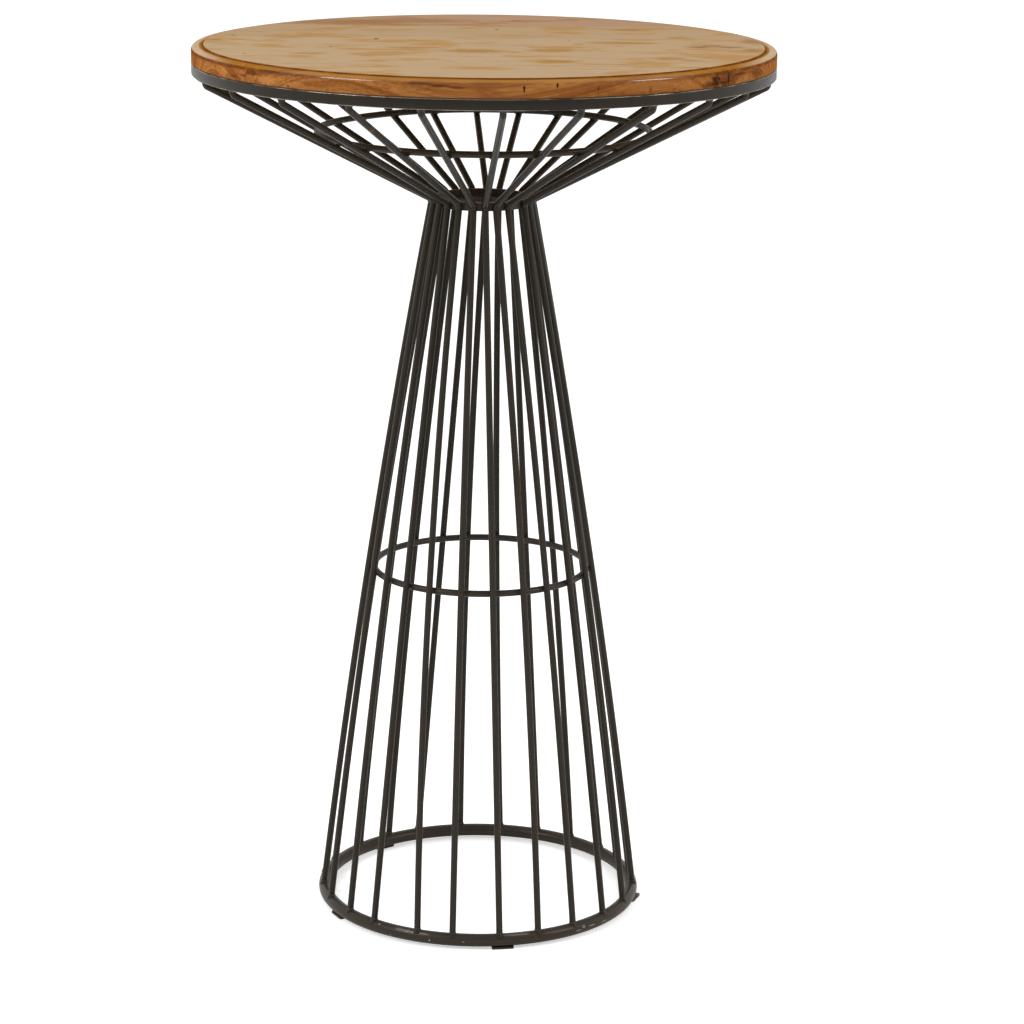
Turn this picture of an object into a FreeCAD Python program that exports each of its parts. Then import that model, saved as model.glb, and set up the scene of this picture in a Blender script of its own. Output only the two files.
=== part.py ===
import FreeCAD, Part
import math
import os

import Sketcher
from FreeCAD import Placement, Rotation, Vector

# Bar table: a round wooden top screwed to a cage of bent steel rods.
# The cage narrows from the hoop under the top to a waist, then spreads to a ring on the floor.
# Millimetres and degrees. +Z is up, the origin is on the floor under the middle of the top.
# Angles round the table are counted from the front (-Y) towards the right (+X).

SIZES = {
    # wooden top
    "top_radius": 350.0,
    "board_thickness": 20.0,
    "raised_height": 2.0,
    "ledge_width": 14.6,
    "rim_round": 5.0,
    "joint_count": 4,
    "board_share": 0.4,
    "front_joint_share": 0.63,
    # steel hoop under the top
    "hoop_top_height": 1058.0,
    "hoop_bar_height": 13.0,
    "hoop_bar_width": 13.0,
    # round bar is drawn with flats that enclose its true section
    "bar_flats": 8,
    # bent rods
    "rod_count": 24,
    "rod_radius": 4.0,
    "rod_top_inset": 8.1,
    "rod_top_drop": 5.5,
    "rod_stub": 0.7,
    "waist_radius": 62.6,
    "cone_depth": 151.5,
    "waist_bend": 9.0,
    "leg_bow": 7.6,
    "bend_runs": 2,
    "leg_runs": 3,
    "foot_outset": 2.5,
    "rod_foot_angle": 7.8,
    "rod_waist_angle": 3.0,
    "rod_top_angle": 3.3,
    # rings welded inside the rods
    "cone_ring_drop": 69.5,
    "cone_ring_bar": 4.0,
    "mid_ring_share": 0.484,
    "mid_ring_bar": 4.0,
    "weld_gap": 0.1,
    # waist hoop and its plate
    "waist_hoop_drop": 0.4,
    "waist_hoop_height": 10.0,
    "waist_hoop_wall": 4.0,
    "waist_plate_thickness": 2.0,
    # ring on the floor and its foot tabs
    "base_ring_radius": 195.2,
    "base_ring_bar": 8.0,
    "tab_thickness": 2.5,
    "tab_width": 27.0,
    "tab_outer_reach": 5.5,
    "tab_inner_reach": 2.5,
    "tab_corner": 2.5,
    "tab_front_angle": 9.0,
    "tab_right_angle": 83.0,
    "tab_right_slide": 3.5,
    "tab_right_twist": 14.0,
    "tab_left_angle": -62.5,
    "tab_back_angle": -141.0,
    # lugs and screws that hold the top
    "lug_count": 4,
    "lug_first_angle": 25.8,
    "lug_length": 26.0,
    "lug_width": 22.0,
    "lug_thickness": 3.0,
    "lug_corner": 4.0,
    "lug_seat_depth": 5.0,
    "lug_hole_radius": 2.5,
    "lug_hole_inset": 12.0,
    "screw_radius": 2.0,
    "screw_head_radius": 4.2,
    "screw_head_height": 2.6,
    "screw_grip": 15.0,
    # one overrun for every cutting tool
    "cut_overrun": 5.0,
}

doc = FreeCAD.newDocument("bar_table")
sheet = doc.addObject("Spreadsheet::Sheet", "Sizes")
sheet_rows = []


def add_size(name, value):
    """Write one plain number into the sheet under its own alias."""
    sheet_rows.append(name)
    row = len(sheet_rows)
    sheet.set("A%d" % row, name)
    sheet.set("B%d" % row, repr(float(value)))
    sheet.setAlias("B%d" % row, name)


for size_name, size_value in SIZES.items():
    add_size(size_name, size_value)
doc.recompute()


def size(name):
    """Read a number back from the sheet."""
    return float(sheet.get(name))


def count(name):
    """Read a whole number back from the sheet."""
    return int(round(size(name)))


def worth(words):
    """What a sum of named sizes such as "rim - ledge" comes to."""
    total = 0.0
    sign = 1
    for word in words.split():
        if word in ("+", "-"):
            sign = 1 if word == "+" else -1
        else:
            total += sign * size(word)
    return total


def in_braces(words):
    """The same sum as a formula, with braces round its names."""
    return " ".join(word if word in ("+", "-") else "{%s}" % word for word in words.split())


def bind(thing, prop, formula):
    """Tie a property to the sheet; names in braces are aliases."""
    thing.setExpression(prop, formula.replace("{", "Sizes.").replace("}", ""))


def around(radius, angle, height):
    """The point at a radius, an angle from the front and a height."""
    turn = math.radians(angle)
    return Vector(radius * math.sin(turn), -radius * math.cos(turn), height)


def turned(angle):
    """A turn about the table's axis that carries the front to the given angle."""
    return Placement(Vector(), Rotation(Vector(0, 0, 1), angle))


# Round bar is drawn with flats: its tips stand out a little, and the flats lie a little inside.
flat_angle = 2 * math.pi / count("bar_flats")
tip_share = math.sqrt(flat_angle / math.sin(flat_angle))
flat_share = tip_share * math.cos(flat_angle / 2)
base_ring_height = size("tab_thickness") + size("base_ring_bar") * flat_share

# Layout of one bent rod.
# Its foot, waist and top lie at slightly different angles, so the rod is flat in a leaning plane.
rod_foot = around(size("base_ring_radius") + size("foot_outset"), size("rod_foot_angle"),
                  base_ring_height)
hoop_underside = size("hoop_top_height") - size("hoop_bar_height")
waist_height = hoop_underside - size("cone_depth")
rod_waist = around(size("waist_radius"), size("rod_waist_angle"), waist_height)
rod_top = around(size("top_radius") - size("rod_top_inset"), size("rod_top_angle"),
                 hoop_underside - size("rod_top_drop"))

plane_normal = (rod_foot - rod_waist).cross(rod_top - rod_waist).normalize()
plane_out = Vector(0, 0, 1).cross(plane_normal).normalize()
if plane_out.dot(rod_top - rod_waist) < 0:
    plane_out = plane_out * -1
plane_up = plane_out.cross(plane_normal).normalize()
if plane_up.z < 0:
    plane_up = plane_up * -1
rod_frame = Placement(rod_waist, Rotation(plane_out, plane_up.cross(plane_out), plane_up, "ZXY"))


def in_plane(point):
    """A point's place out from the waist corner and up from it, in the rod's own plane."""
    offset = point - rod_waist
    return Vector(offset.dot(plane_out), offset.dot(plane_up), 0)


def in_space(flat):
    """The reverse of in_plane."""
    return rod_waist + plane_out * flat.x + plane_up * flat.y


flat_foot = in_plane(rod_foot)
flat_top = in_plane(rod_top)
arm = Vector(flat_top).normalize()
arm_below = Vector(arm.y, -arm.x, 0)

# The leg is one shallow arc that bows outwards, from the foot to the waist corner.
leg_chord = flat_foot.Length
leg_radius = (leg_chord ** 2 / 4 + size("leg_bow") ** 2) / (2 * size("leg_bow"))
leg_out = Vector(-flat_foot.y, flat_foot.x, 0).normalize()
leg_centre = flat_foot * 0.5 - leg_out * (leg_radius - size("leg_bow"))


# The waist bend touches the leg's arc from outside and the underside of the arm's line.
bend_start = arm_below * size("waist_bend") - leg_centre
along = bend_start.dot(arm)
reach = leg_radius + size("waist_bend")
bend_slide = -along + math.sqrt(along ** 2 - bend_start.dot(bend_start) + reach ** 2)
waist_centre = arm * bend_slide + arm_below * size("waist_bend")
waist_high = arm * bend_slide
waist_low = leg_centre + (waist_centre - leg_centre) * (leg_radius / reach)

# The top bend turns the arm up into a short stub that meets the hoop.
stub_end = Vector(flat_top.x, flat_top.y + size("rod_top_drop") / plane_up.z, 0)
top_high = stub_end - Vector(0, size("rod_stub"), 0)
top_tangent = top_high.y - flat_top.y
top_low = flat_top - arm * top_tangent
top_bend = top_tangent / math.tan(math.acos(arm.y) / 2)
top_centre = top_high - Vector(top_bend, 0, 0)


def along_arc(centre, start, end, runs):
    """Points that part an arc into equal runs, after its start and up to its end."""
    spoke = start - centre
    turn = math.atan2(spoke.cross(end - centre).z, spoke.dot(end - centre))
    points = []
    for run in range(1, runs + 1):
        step = turn * run / runs
        points.append(centre + Vector(spoke.x * math.cos(step) - spoke.y * math.sin(step),
                                      spoke.x * math.sin(step) + spoke.y * math.cos(step), 0))
    return points


# The rod's centre line from its top to its foot, with each arc drawn in short straight runs.
rod_points = [stub_end, top_high]
rod_points += along_arc(top_centre, top_high, top_low, count("bend_runs"))
rod_points += [waist_high] + along_arc(waist_centre, waist_high, waist_low, count("bend_runs"))
rod_points += along_arc(leg_centre, waist_low, flat_foot, count("leg_runs"))


def bar_reach(bar, tilt):
    """How far a bar with flats reaches in a direction tilted from the middle of a flat."""
    from_flat = tilt - flat_angle * round(tilt / flat_angle)
    return bar * tip_share * math.cos(flat_angle / 2 - abs(from_flat))


def radius_of(point):
    """Distance of a point from the table's axis."""
    return math.hypot(point.x, point.y)


def rod_point(height):
    """Where the rod's centre line passes a height, below its stub."""
    up = (height - rod_waist.z) / plane_up.z
    for upper, lower in zip(rod_points, rod_points[1:]):
        if lower.y <= up:
            share = (upper.y - up) / (upper.y - lower.y)
            return in_space(upper + (lower - upper) * share)
    return in_space(rod_points[-1])


def ring_inside(height, bar):
    """Radius of a round ring at a height that lies against the inside of every rod."""
    rise = 2 * bar
    run = radius_of(rod_point(height + bar)) - radius_of(rod_point(height - bar))
    tilt = math.atan2(run, rise)
    apart = size("rod_radius") * flat_share + bar_reach(bar, tilt) + size("weld_gap")
    return radius_of(rod_point(height)) - apart / math.cos(tilt)


# Sizes that follow from the layout join the sheet, so that every feature can be bound to it.
nearest = min(rod_points[1:-1], key=lambda point: point.x)
add_size("rod_top_out", stub_end.x)
add_size("rod_stub_up", stub_end.y)
for number, point in enumerate(rod_points[1:]):
    add_size("bend_%d_out" % (number + 1), point.x)
    add_size("bend_%d_up" % (number + 1), point.y)
add_size("waist_hoop_radius",
         radius_of(in_space(nearest)) - size("rod_radius") * flat_share - size("weld_gap"))
add_size("waist_hoop_base", in_space(nearest).z - size("waist_hoop_drop"))
cone_ring_height = hoop_underside - size("cone_ring_drop")
add_size("cone_ring_height", cone_ring_height)
add_size("cone_ring_radius", ring_inside(cone_ring_height, size("cone_ring_bar")))
mid_ring_height = waist_height * size("mid_ring_share")
add_size("mid_ring_height", mid_ring_height)
add_size("mid_ring_radius", ring_inside(mid_ring_height, size("mid_ring_bar")))
add_size("base_ring_height", base_ring_height)
add_size("tip_share", tip_share)
# The rim's round is drawn as two bevels that meet halfway round it.
add_size("rim_halfway", size("rim_round") * (1 - math.sqrt(0.5)))
doc.recompute()


def origin_plane(body, role):
    """One of a body's own origin planes."""
    for feature in body.Origin.OriginFeatures:
        if feature.Role == role:
            return feature
    raise ValueError("no plane " + role)


def new_sketch(body, name, role):
    """A sketch on one of the body's origin planes."""
    sketch = body.newObject("Sketcher::SketchObject", name)
    sketch.AttachmentSupport = [(origin_plane(body, role), "")]
    sketch.MapMode = "FlatFace"
    return sketch


def add_sized(sketch, kind, parts, value, formula):
    """Add a constraint with a size and tie that size to the sheet."""
    index = sketch.addConstraint(Sketcher.Constraint(kind, *parts, value))
    bind(sketch, "Constraints[%d]" % index, formula)
    return index


def hold(sketch, element, end, out, up):
    """Fix a corner at two sums of named sizes; no words means that it lies on the axis."""
    for kind, words, axis in (("DistanceX", out, -2), ("DistanceY", up, -1)):
        if not words:
            sketch.addConstraint(Sketcher.Constraint("PointOnObject", element, end, axis))
        elif worth(words) < 0:
            add_sized(sketch, kind, (element, end, -1, 1), -worth(words),
                      "-(%s)" % in_braces(words))
        else:
            add_sized(sketch, kind, (-1, 1, element, end), worth(words), in_braces(words))


def draw_outline(sketch, corners):
    """A closed outline; each corner is two sums of named sizes, out from the axis and up."""
    points = [Vector(worth(out), worth(up), 0) for out, up in corners]
    for index, start in enumerate(points):
        following = (index + 1) % len(points)
        sketch.addGeometry(Part.LineSegment(start, points[following]), False)
    for index, (out, up) in enumerate(corners):
        following = (index + 1) % len(points)
        sketch.addConstraint(Sketcher.Constraint("Coincident", index, 2, following, 1))
        hold(sketch, index, 1, out, up)


def revolve(body, sketch, name):
    """Turn a sketch once round the table's axis."""
    turn = body.newObject("PartDesign::Revolution", name)
    turn.Profile = sketch
    turn.ReferenceAxis = (sketch, ["V_Axis"])
    turn.Angle = 360.0
    body.Tip = turn
    return turn


def flat_bar_hoop(label, outer, width, foot, height):
    """A hoop of rectangular bar: its section is drawn beside the axis and turned round it."""
    body = doc.addObject("PartDesign::Body", label)
    sketch = new_sketch(body, label + "_section", "XZ_Plane")
    inner = outer + " - " + width
    head = foot + " + " + height
    draw_outline(sketch, [(inner, foot), (outer, foot), (outer, head), (inner, head)])
    revolve(body, sketch, label + "_turned")
    return body


def draw_bar_section(sketch, bar, out, up):
    """The section of a round bar as equal flats round a construction circle."""
    flats = count("bar_flats")
    start_tip = size(bar) * tip_share
    centre = Vector(worth(out), worth(up), 0)
    tips = [centre + Vector(math.cos(flat_angle * (number - 0.5)),
                            math.sin(flat_angle * (number - 0.5)), 0) * start_tip
            for number in range(flats)]
    for number in range(flats):
        sketch.addGeometry(Part.LineSegment(tips[number], tips[(number + 1) % flats]), False)
    sketch.addGeometry(Part.Circle(centre, Vector(0, 0, 1), start_tip), True)
    for number in range(flats):
        sketch.addConstraint(Sketcher.Constraint("Coincident", number, 2, (number + 1) % flats, 1))
        sketch.addConstraint(Sketcher.Constraint("PointOnObject", number, 1, flats))
    for number in range(1, flats):
        sketch.addConstraint(Sketcher.Constraint("Equal", 0, number))
    sketch.addConstraint(Sketcher.Constraint("Vertical", 0))
    hold(sketch, flats, 3, out, up)
    add_sized(sketch, "Radius", (flats,), start_tip, "{%s} * {tip_share}" % bar)


def make_rod_blank():
    """One bar bent in a single plane: stub, top bend, arm, waist bend and bowed leg."""
    body = doc.addObject("PartDesign::Body", "rod_blank")
    body.Placement = rod_frame
    path = new_sketch(body, "rod_path", "XZ_Plane")
    for start, end in zip(rod_points, rod_points[1:]):
        path.addGeometry(Part.LineSegment(start, end), False)
    for index in range(len(rod_points) - 2):
        path.addConstraint(Sketcher.Constraint("Coincident", index, 2, index + 1, 1))
    hold(path, 0, 1, "rod_top_out", "rod_stub_up")
    for index in range(len(rod_points) - 1):
        hold(path, index, 2, "bend_%d_out" % (index + 1), "bend_%d_up" % (index + 1))
    section = new_sketch(body, "rod_section", "XY_Plane")
    draw_bar_section(section, "rod_radius", "rod_top_out", "")
    bind(section, "AttachmentOffset.Base.z", "{rod_stub_up}")
    doc.recompute()
    bent = body.newObject("PartDesign::AdditivePipe", "rod_bent")
    bent.Profile = section
    bent.Spine = (path, ["Edge%d" % (number + 1) for number in range(len(rod_points) - 1)])
    bent.Mode = "Standard"
    bent.Transition = "Right corner"
    body.Tip = bent
    return body


def make_bar_ring(label):
    """A closed ring of round bar: its section is turned round the table's axis."""
    body = doc.addObject("PartDesign::Body", label)
    sketch = new_sketch(body, label + "_section", "XZ_Plane")
    draw_bar_section(sketch, label + "_bar", label + "_radius", label + "_height")
    revolve(body, sketch, label + "_turned")
    return body


# The hole in a lug, and the screw in it, lie this far from the table's axis.
LUG_HOLE_PLACE = "top_radius - hoop_bar_width - lug_length + lug_hole_inset"


def cut(label, base, tool):
    """A boolean cut as an object of the document."""
    result = doc.addObject("Part::Cut", label)
    result.Base = base
    result.Tool = tool
    return result


def copies(label, source, angles):
    """Linked copies of one piece, each turned about the table's axis."""
    made = []
    for number, angle in enumerate(angles):
        copy = doc.addObject("App::Link", "%s_%02d" % (label, number + 1))
        copy.LinkedObject = source
        copy.LinkTransform = True
        copy.Placement = turned(angle)
        made.append(copy)
    return made


def make_waist_plate():
    """The round plate that closes the waist hoop at its lower edge."""
    plate = doc.addObject("Part::Cylinder", "waist_plate")
    bind(plate, "Radius", "{waist_hoop_radius} - {waist_hoop_wall}")
    bind(plate, "Height", "{waist_plate_thickness}")
    bind(plate, "Placement.Base.z", "{waist_hoop_base}")
    return plate


def draw_plate(body, name, near, far, width):
    """A rectangle across the front radius, from a near to a far distance."""
    sketch = new_sketch(body, name, "XY_Plane")
    half = worth(width) / 2
    corners = [Vector(-half, -worth(far), 0), Vector(half, -worth(far), 0),
               Vector(half, -worth(near), 0), Vector(-half, -worth(near), 0)]
    for index, start in enumerate(corners):
        sketch.addGeometry(Part.LineSegment(start, corners[(index + 1) % 4]), False)
    for index in range(4):
        sketch.addConstraint(Sketcher.Constraint("Coincident", index, 2, (index + 1) % 4, 1))
    sketch.addConstraint(Sketcher.Constraint("Horizontal", 2))
    for index in (1, 3):
        sketch.addConstraint(Sketcher.Constraint("Vertical", index))
    sketch.addConstraint(Sketcher.Constraint("Symmetric", 0, 1, 0, 2, -2))
    add_sized(sketch, "DistanceX", (0, 1, 0, 2), worth(width), in_braces(width))
    add_sized(sketch, "DistanceY", (0, 1, -1, 1), worth(far), in_braces(far))
    add_sized(sketch, "DistanceY", (2, 1, -1, 1), worth(near), in_braces(near))
    return sketch


def pad(body, sketch, name, length):
    """Raise a sketch into a plate."""
    plate = body.newObject("PartDesign::Pad", name)
    plate.Profile = sketch
    bind(plate, "Length", length)
    body.Tip = plate
    return plate


def round_uprights(body, name, radius):
    """Round the upright corners of a plate."""
    doc.recompute()
    plate = body.Tip
    uprights = ["Edge%d" % (number + 1) for number, edge in enumerate(plate.Shape.Edges)
                if edge.BoundBox.ZLength > edge.BoundBox.XLength + edge.BoundBox.YLength]
    eased = body.newObject("PartDesign::Fillet", name)
    eased.Base = (plate, uprights)
    bind(eased, "Radius", radius)
    body.Tip = eased
    return eased


def make_tab_blank():
    """A small flat foot under the base ring, drawn about the ring's own centre line."""
    body = doc.addObject("PartDesign::Body", "tab_blank")
    sketch = draw_plate(body, "tab_outline", "base_ring_radius - tab_inner_reach",
                        "base_ring_radius + tab_outer_reach", "tab_width")
    pad(body, sketch, "tab_plate", "{tab_thickness}")
    round_uprights(body, "tab_rounded", "{tab_corner}")
    return body


def place_tab(tab, name):
    """Turn a foot to its own angle; one foot also stands a little out and askew."""
    tab.Label = "foot_tab_" + name
    if name != "right":
        return
    seat = Placement(Vector(0, -size("base_ring_radius"), 0), Rotation())
    askew = Placement(Vector(0, -size("tab_right_slide"), 0),
                      Rotation(Vector(0, 0, 1), -size("tab_right_twist")))
    tab.Placement = tab.Placement * seat * askew * seat.inverse()


def make_lug_blank():
    """A drilled lug: its outer end runs into the hoop, and the hoop trims it."""
    body = doc.addObject("PartDesign::Body", "lug_blank")
    sketch = draw_plate(body, "lug_outline", "top_radius - hoop_bar_width - lug_length",
                        "top_radius - hoop_bar_width + lug_seat_depth", "lug_width")
    bind(sketch, "AttachmentOffset.Base.z", "{hoop_top_height} - {lug_thickness}")
    pad(body, sketch, "lug_plate", "{lug_thickness}")
    round_uprights(body, "lug_rounded", "{lug_corner}")
    doc.recompute()
    drilled = new_sketch(body, "lug_hole_outline", "XY_Plane")
    bind(drilled, "AttachmentOffset.Base.z", "{hoop_top_height} - {lug_thickness}")
    centre = Vector(0, -worth(LUG_HOLE_PLACE), 0)
    drilled.addGeometry(Part.Circle(centre, Vector(0, 0, 1), size("lug_hole_radius")), False)
    drilled.addConstraint(Sketcher.Constraint("PointOnObject", 0, 3, -2))
    add_sized(drilled, "DistanceY", (0, 3, -1, 1), worth(LUG_HOLE_PLACE),
              in_braces(LUG_HOLE_PLACE))
    add_sized(drilled, "Radius", (0,), size("lug_hole_radius"), "{lug_hole_radius}")
    hole = body.newObject("PartDesign::Pocket", "lug_hole")
    hole.Profile = drilled
    hole.Reversed = True
    bind(hole, "Length", "{lug_thickness} + {cut_overrun}")
    body.Tip = hole
    return body


def make_screw_blank():
    """A wood screw, head down in the front lug's hole: head and shank are turned in one."""
    body = doc.addObject("PartDesign::Body", "screw_blank")
    bind(body, "Placement.Base.y", "-(%s)" % in_braces(LUG_HOLE_PLACE))
    bind(body, "Placement.Base.z", "{hoop_top_height} - {lug_thickness}")
    sketch = new_sketch(body, "screw_profile", "XZ_Plane")
    tip = "lug_thickness + screw_grip"
    draw_outline(sketch, [("", tip), ("screw_radius", tip), ("screw_radius", ""),
                          ("screw_head_radius", ""), ("screw_head_radius", "- screw_head_height"),
                          ("", "- screw_head_height")])
    revolve(body, sketch, "screw_turned")
    return body


def make_top_blank():
    """The whole top before it is parted into boards: rim, round-over, ledge and raised middle."""
    body = doc.addObject("PartDesign::Body", "top_blank")
    sketch = new_sketch(body, "top_profile", "XZ_Plane")
    base = "hoop_top_height"
    ledge = base + " + board_thickness"
    raised = ledge + " + raised_height"
    inner = "top_radius - ledge_width"
    draw_outline(sketch, [("", base), ("top_radius", base), ("top_radius", ledge + " - rim_round"),
                          ("top_radius - rim_halfway", ledge + " - rim_halfway"),
                          ("top_radius - rim_round", ledge), (inner, ledge), (inner, raised),
                          ("", raised)])
    revolve(body, sketch, "top_turned")
    return body


def make_boards(blank, screws):
    """Part the top into edge-glued boards that run from left to right."""
    drilled = cut("top_drilled", blank, screws)
    starts = ["-{top_radius} - {cut_overrun}"]
    starts += ["{top_radius} * (%d * {board_share} - {front_joint_share})" % number
               for number in range(count("joint_count"))]
    boards = []
    for number, start in enumerate(starts):
        last = number == len(starts) - 1
        strip = doc.addObject("Part::Box", "strip_%d" % (number + 1))
        end = "{top_radius} + {cut_overrun}" if last else starts[number + 1]
        bind(strip, "Length", "2 * ({top_radius} + {cut_overrun})")
        bind(strip, "Width", "(%s) - (%s)" % (end, start))
        bind(strip, "Height", "{board_thickness} + {raised_height} + 2 * {cut_overrun}")
        bind(strip, "Placement.Base.x", "-{top_radius} - {cut_overrun}")
        bind(strip, "Placement.Base.y", start)
        bind(strip, "Placement.Base.z", "{hoop_top_height} - {cut_overrun}")
        board = doc.addObject("Part::Common", "top_board_%d" % (number + 1))
        board.Base = drilled
        board.Tool = strip
        boards.append(board)
    return boards


top_hoop = flat_bar_hoop("top_hoop", "top_radius", "hoop_bar_width",
                         "hoop_top_height - hoop_bar_height", "hoop_bar_height")
base_ring = make_bar_ring("base_ring")
mid_ring = make_bar_ring("mid_ring")
cone_ring = make_bar_ring("cone_ring")
waist_hoop = flat_bar_hoop("waist_hoop", "waist_hoop_radius", "waist_hoop_wall",
                           "waist_hoop_base", "waist_hoop_height")
waist_plate = make_waist_plate()

rod_coped = cut("rod_coped", make_rod_blank(), base_ring)
rod_step = 360.0 / count("rod_count")
rods = copies("frame_rod", rod_coped, [rod_step * number for number in range(count("rod_count"))])

tab_names = ("front", "right", "left", "back")
tab_blank = make_tab_blank()
tabs = copies("tab_copy", tab_blank, [size("tab_%s_angle" % name) for name in tab_names])
for tab, name in zip(tabs, tab_names):
    place_tab(tab, name)

lug_trimmed = cut("lug_trimmed", make_lug_blank(), top_hoop)
lug_step = 360.0 / count("lug_count")
lug_angles = [size("lug_first_angle") + lug_step * number for number in range(count("lug_count"))]
lugs = copies("fixing_lug", lug_trimmed, lug_angles)

top_screws = doc.addObject("Part::Compound", "top_screws")
top_screws.Links = copies("screw_copy", make_screw_blank(), lug_angles)
boards = make_boards(make_top_blank(), top_screws)

doc.recompute()

pieces = boards + [top_hoop] + lugs + [top_screws] + rods
pieces += [cone_ring, waist_hoop, waist_plate, mid_ring, base_ring] + tabs

for item in doc.Objects:
    troubled = [word for word in item.State if word in ("Invalid", "Error")]
    if troubled:
        raise RuntimeError("%s is %s" % (item.Label, ", ".join(troubled)))

os.makedirs("parts", exist_ok=True)
for piece in pieces:
    shape = Part.getShape(piece)
    if shape.isNull() or not shape.isValid() or not shape.Solids:
        raise RuntimeError(piece.Label + " has no sound solid")
    shape.exportStep("parts/%s.step" % piece.Label)

print("pieces", len(pieces))
print("rod length %.1f" % (rod_coped.Shape.Volume / (math.pi * size("rod_radius") ** 2)))
for name in ("cone_ring_radius", "mid_ring_radius", "waist_hoop_radius", "waist_hoop_base"):
    print(name, round(size(name), 2))
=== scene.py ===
# %% [markdown]
# # A round bar table in wood and bent steel rod
#
# A wooden disc lies on a hoop of square bar. Under it, twenty-four steel rods run in to a narrow
# waist, bend, and spread down to a ring on the floor.
#
# This notebook draws the table's finished surfaces over its CAD parts. All lengths are in metres
# once they reach Blender, but the numbers below are in millimetres, because that is how such a
# table is measured in a workshop. `MM` turns one into the other.

import math

import bmesh
import bpy
import numpy as np
from mathutils import Matrix, Vector


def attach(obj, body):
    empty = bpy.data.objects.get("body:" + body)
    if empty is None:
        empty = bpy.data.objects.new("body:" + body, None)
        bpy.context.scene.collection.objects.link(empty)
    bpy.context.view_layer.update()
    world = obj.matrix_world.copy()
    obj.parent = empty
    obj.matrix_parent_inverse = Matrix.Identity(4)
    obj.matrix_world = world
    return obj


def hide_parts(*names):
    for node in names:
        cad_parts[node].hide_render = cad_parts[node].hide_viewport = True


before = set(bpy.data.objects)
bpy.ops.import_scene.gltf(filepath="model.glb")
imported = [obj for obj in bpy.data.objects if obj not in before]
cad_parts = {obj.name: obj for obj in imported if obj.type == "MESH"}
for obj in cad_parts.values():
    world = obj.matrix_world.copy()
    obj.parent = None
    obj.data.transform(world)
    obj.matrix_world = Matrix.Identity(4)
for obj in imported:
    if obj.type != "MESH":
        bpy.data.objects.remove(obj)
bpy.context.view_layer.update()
MM = 0.001
print("CAD parts:", len(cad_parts))

# %% [markdown]
# ## Sizes
#
# The CAD parts already have these sizes. They are repeated here because round bar, bends and
# eased edges are drawn finer below: in the CAD parts bar has flats and bends have corners.

# %% Sizes in millimetres and degrees
RODS = 24
ROD_RADIUS = 4.0
TOP_RADIUS = 350.0
HOOP_TOP, HOOP_BAR = 1058.0, 13.0
HOOP_UNDER = HOOP_TOP - HOOP_BAR
BASE_RADIUS, BASE_BAR, BASE_HEIGHT = 195.2, 8.0, 10.4
print("rods", RODS, "hoop underside at", HOOP_UNDER)

# %% [markdown]
# ## The camera
#
# The camera stands about four metres away and looks down on the table by some fifteen degrees.
# Its lens is long, so the near and far sides of the top have almost the same width.
# The rotation is built from three small turns: yaw to the side, pitch down and roll.

# %% Camera
YAW, PITCH, ROLL = 0.568, 14.587, 0.581
CAMERA_PLACE = (0.0, -3.9008, 1.5158)
SENSOR_WIDTH, LENS_LENGTH, FARTHEST = 36.0, 114.08, 100.0


def camera_axes(yaw, pitch, roll):
    """Right, up and back directions of a camera that looks along +Y before its turns."""
    level = Vector((math.cos(yaw), -math.sin(yaw), 0))
    ahead = Vector((math.sin(yaw) * math.cos(pitch), math.cos(yaw) * math.cos(pitch),
                    -math.sin(pitch)))
    above = level.cross(ahead)
    right = level * math.cos(roll) + above * math.sin(roll)
    up = above * math.cos(roll) - level * math.sin(roll)
    return right, up, -ahead


camera_data = bpy.data.cameras.new("camera")
camera = bpy.data.objects.new("camera", camera_data)
bpy.context.scene.collection.objects.link(camera)
bpy.context.scene.camera = camera
axes = Matrix(camera_axes(*(math.radians(angle) for angle in (YAW, PITCH, ROLL))))
camera.matrix_world = Matrix.Translation(CAMERA_PLACE) @ axes.transposed().to_4x4()
camera_data.sensor_width = SENSOR_WIDTH
camera_data.lens = LENS_LENGTH
camera_data.clip_end = FARTHEST
print("camera at", tuple(round(v, 3) for v in camera.location))

# %% [markdown]
# ## Small tools for meshes
#
# Three shapes make nearly the whole table:
#
# * a **sweep** carries a round section along a line, for bent bar;
# * a **turned** shape spins a profile round the vertical axis, for hoops and rings;
# * a **bead** is an uneven ball of weld, and comes further down with the welds.
#
# Each is a grid of points worked out as whole arrays, which is short and quick, and then the grid
# becomes the faces of a mesh.


# %% Put a piece in the scene
def turn_outwards(mesh):
    """Turns every face of a closed mesh to point out of its solid."""
    work = bmesh.new()
    work.from_mesh(mesh)
    bmesh.ops.recalc_face_normals(work, faces=work.faces[:])
    work.to_mesh(mesh)
    work.free()


def add_mesh(name, points, faces, bar_map=None, smooth=True):
    """A new object from an array of points in millimetres and a list of faces.

    bar_map says where on a bar each face corner lies: metres along it and turns round it.
    """
    mesh = bpy.data.meshes.new(name)
    mesh.from_pydata((np.asarray(points) * MM).tolist(), [], faces)
    mesh.polygons.foreach_set("use_smooth", [smooth] * len(mesh.polygons))
    if bar_map is not None:
        mesh.uv_layers.new(name="bar").data.foreach_set("uv", np.asarray(bar_map, "f").ravel())
    mesh.update()
    turn_outwards(mesh)
    thing = bpy.data.objects.new(name, mesh)
    bpy.context.scene.collection.objects.link(thing)
    return thing


def finish_piece(thing, slot, *nodes):
    """Puts a piece on the table's body and hides the CAD parts that it stands for. Its finish,
    slot, is not used.
    """
    if nodes:
        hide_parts(*nodes)
    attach(thing, "root")
    return thing


print("ready to add pieces")


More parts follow.
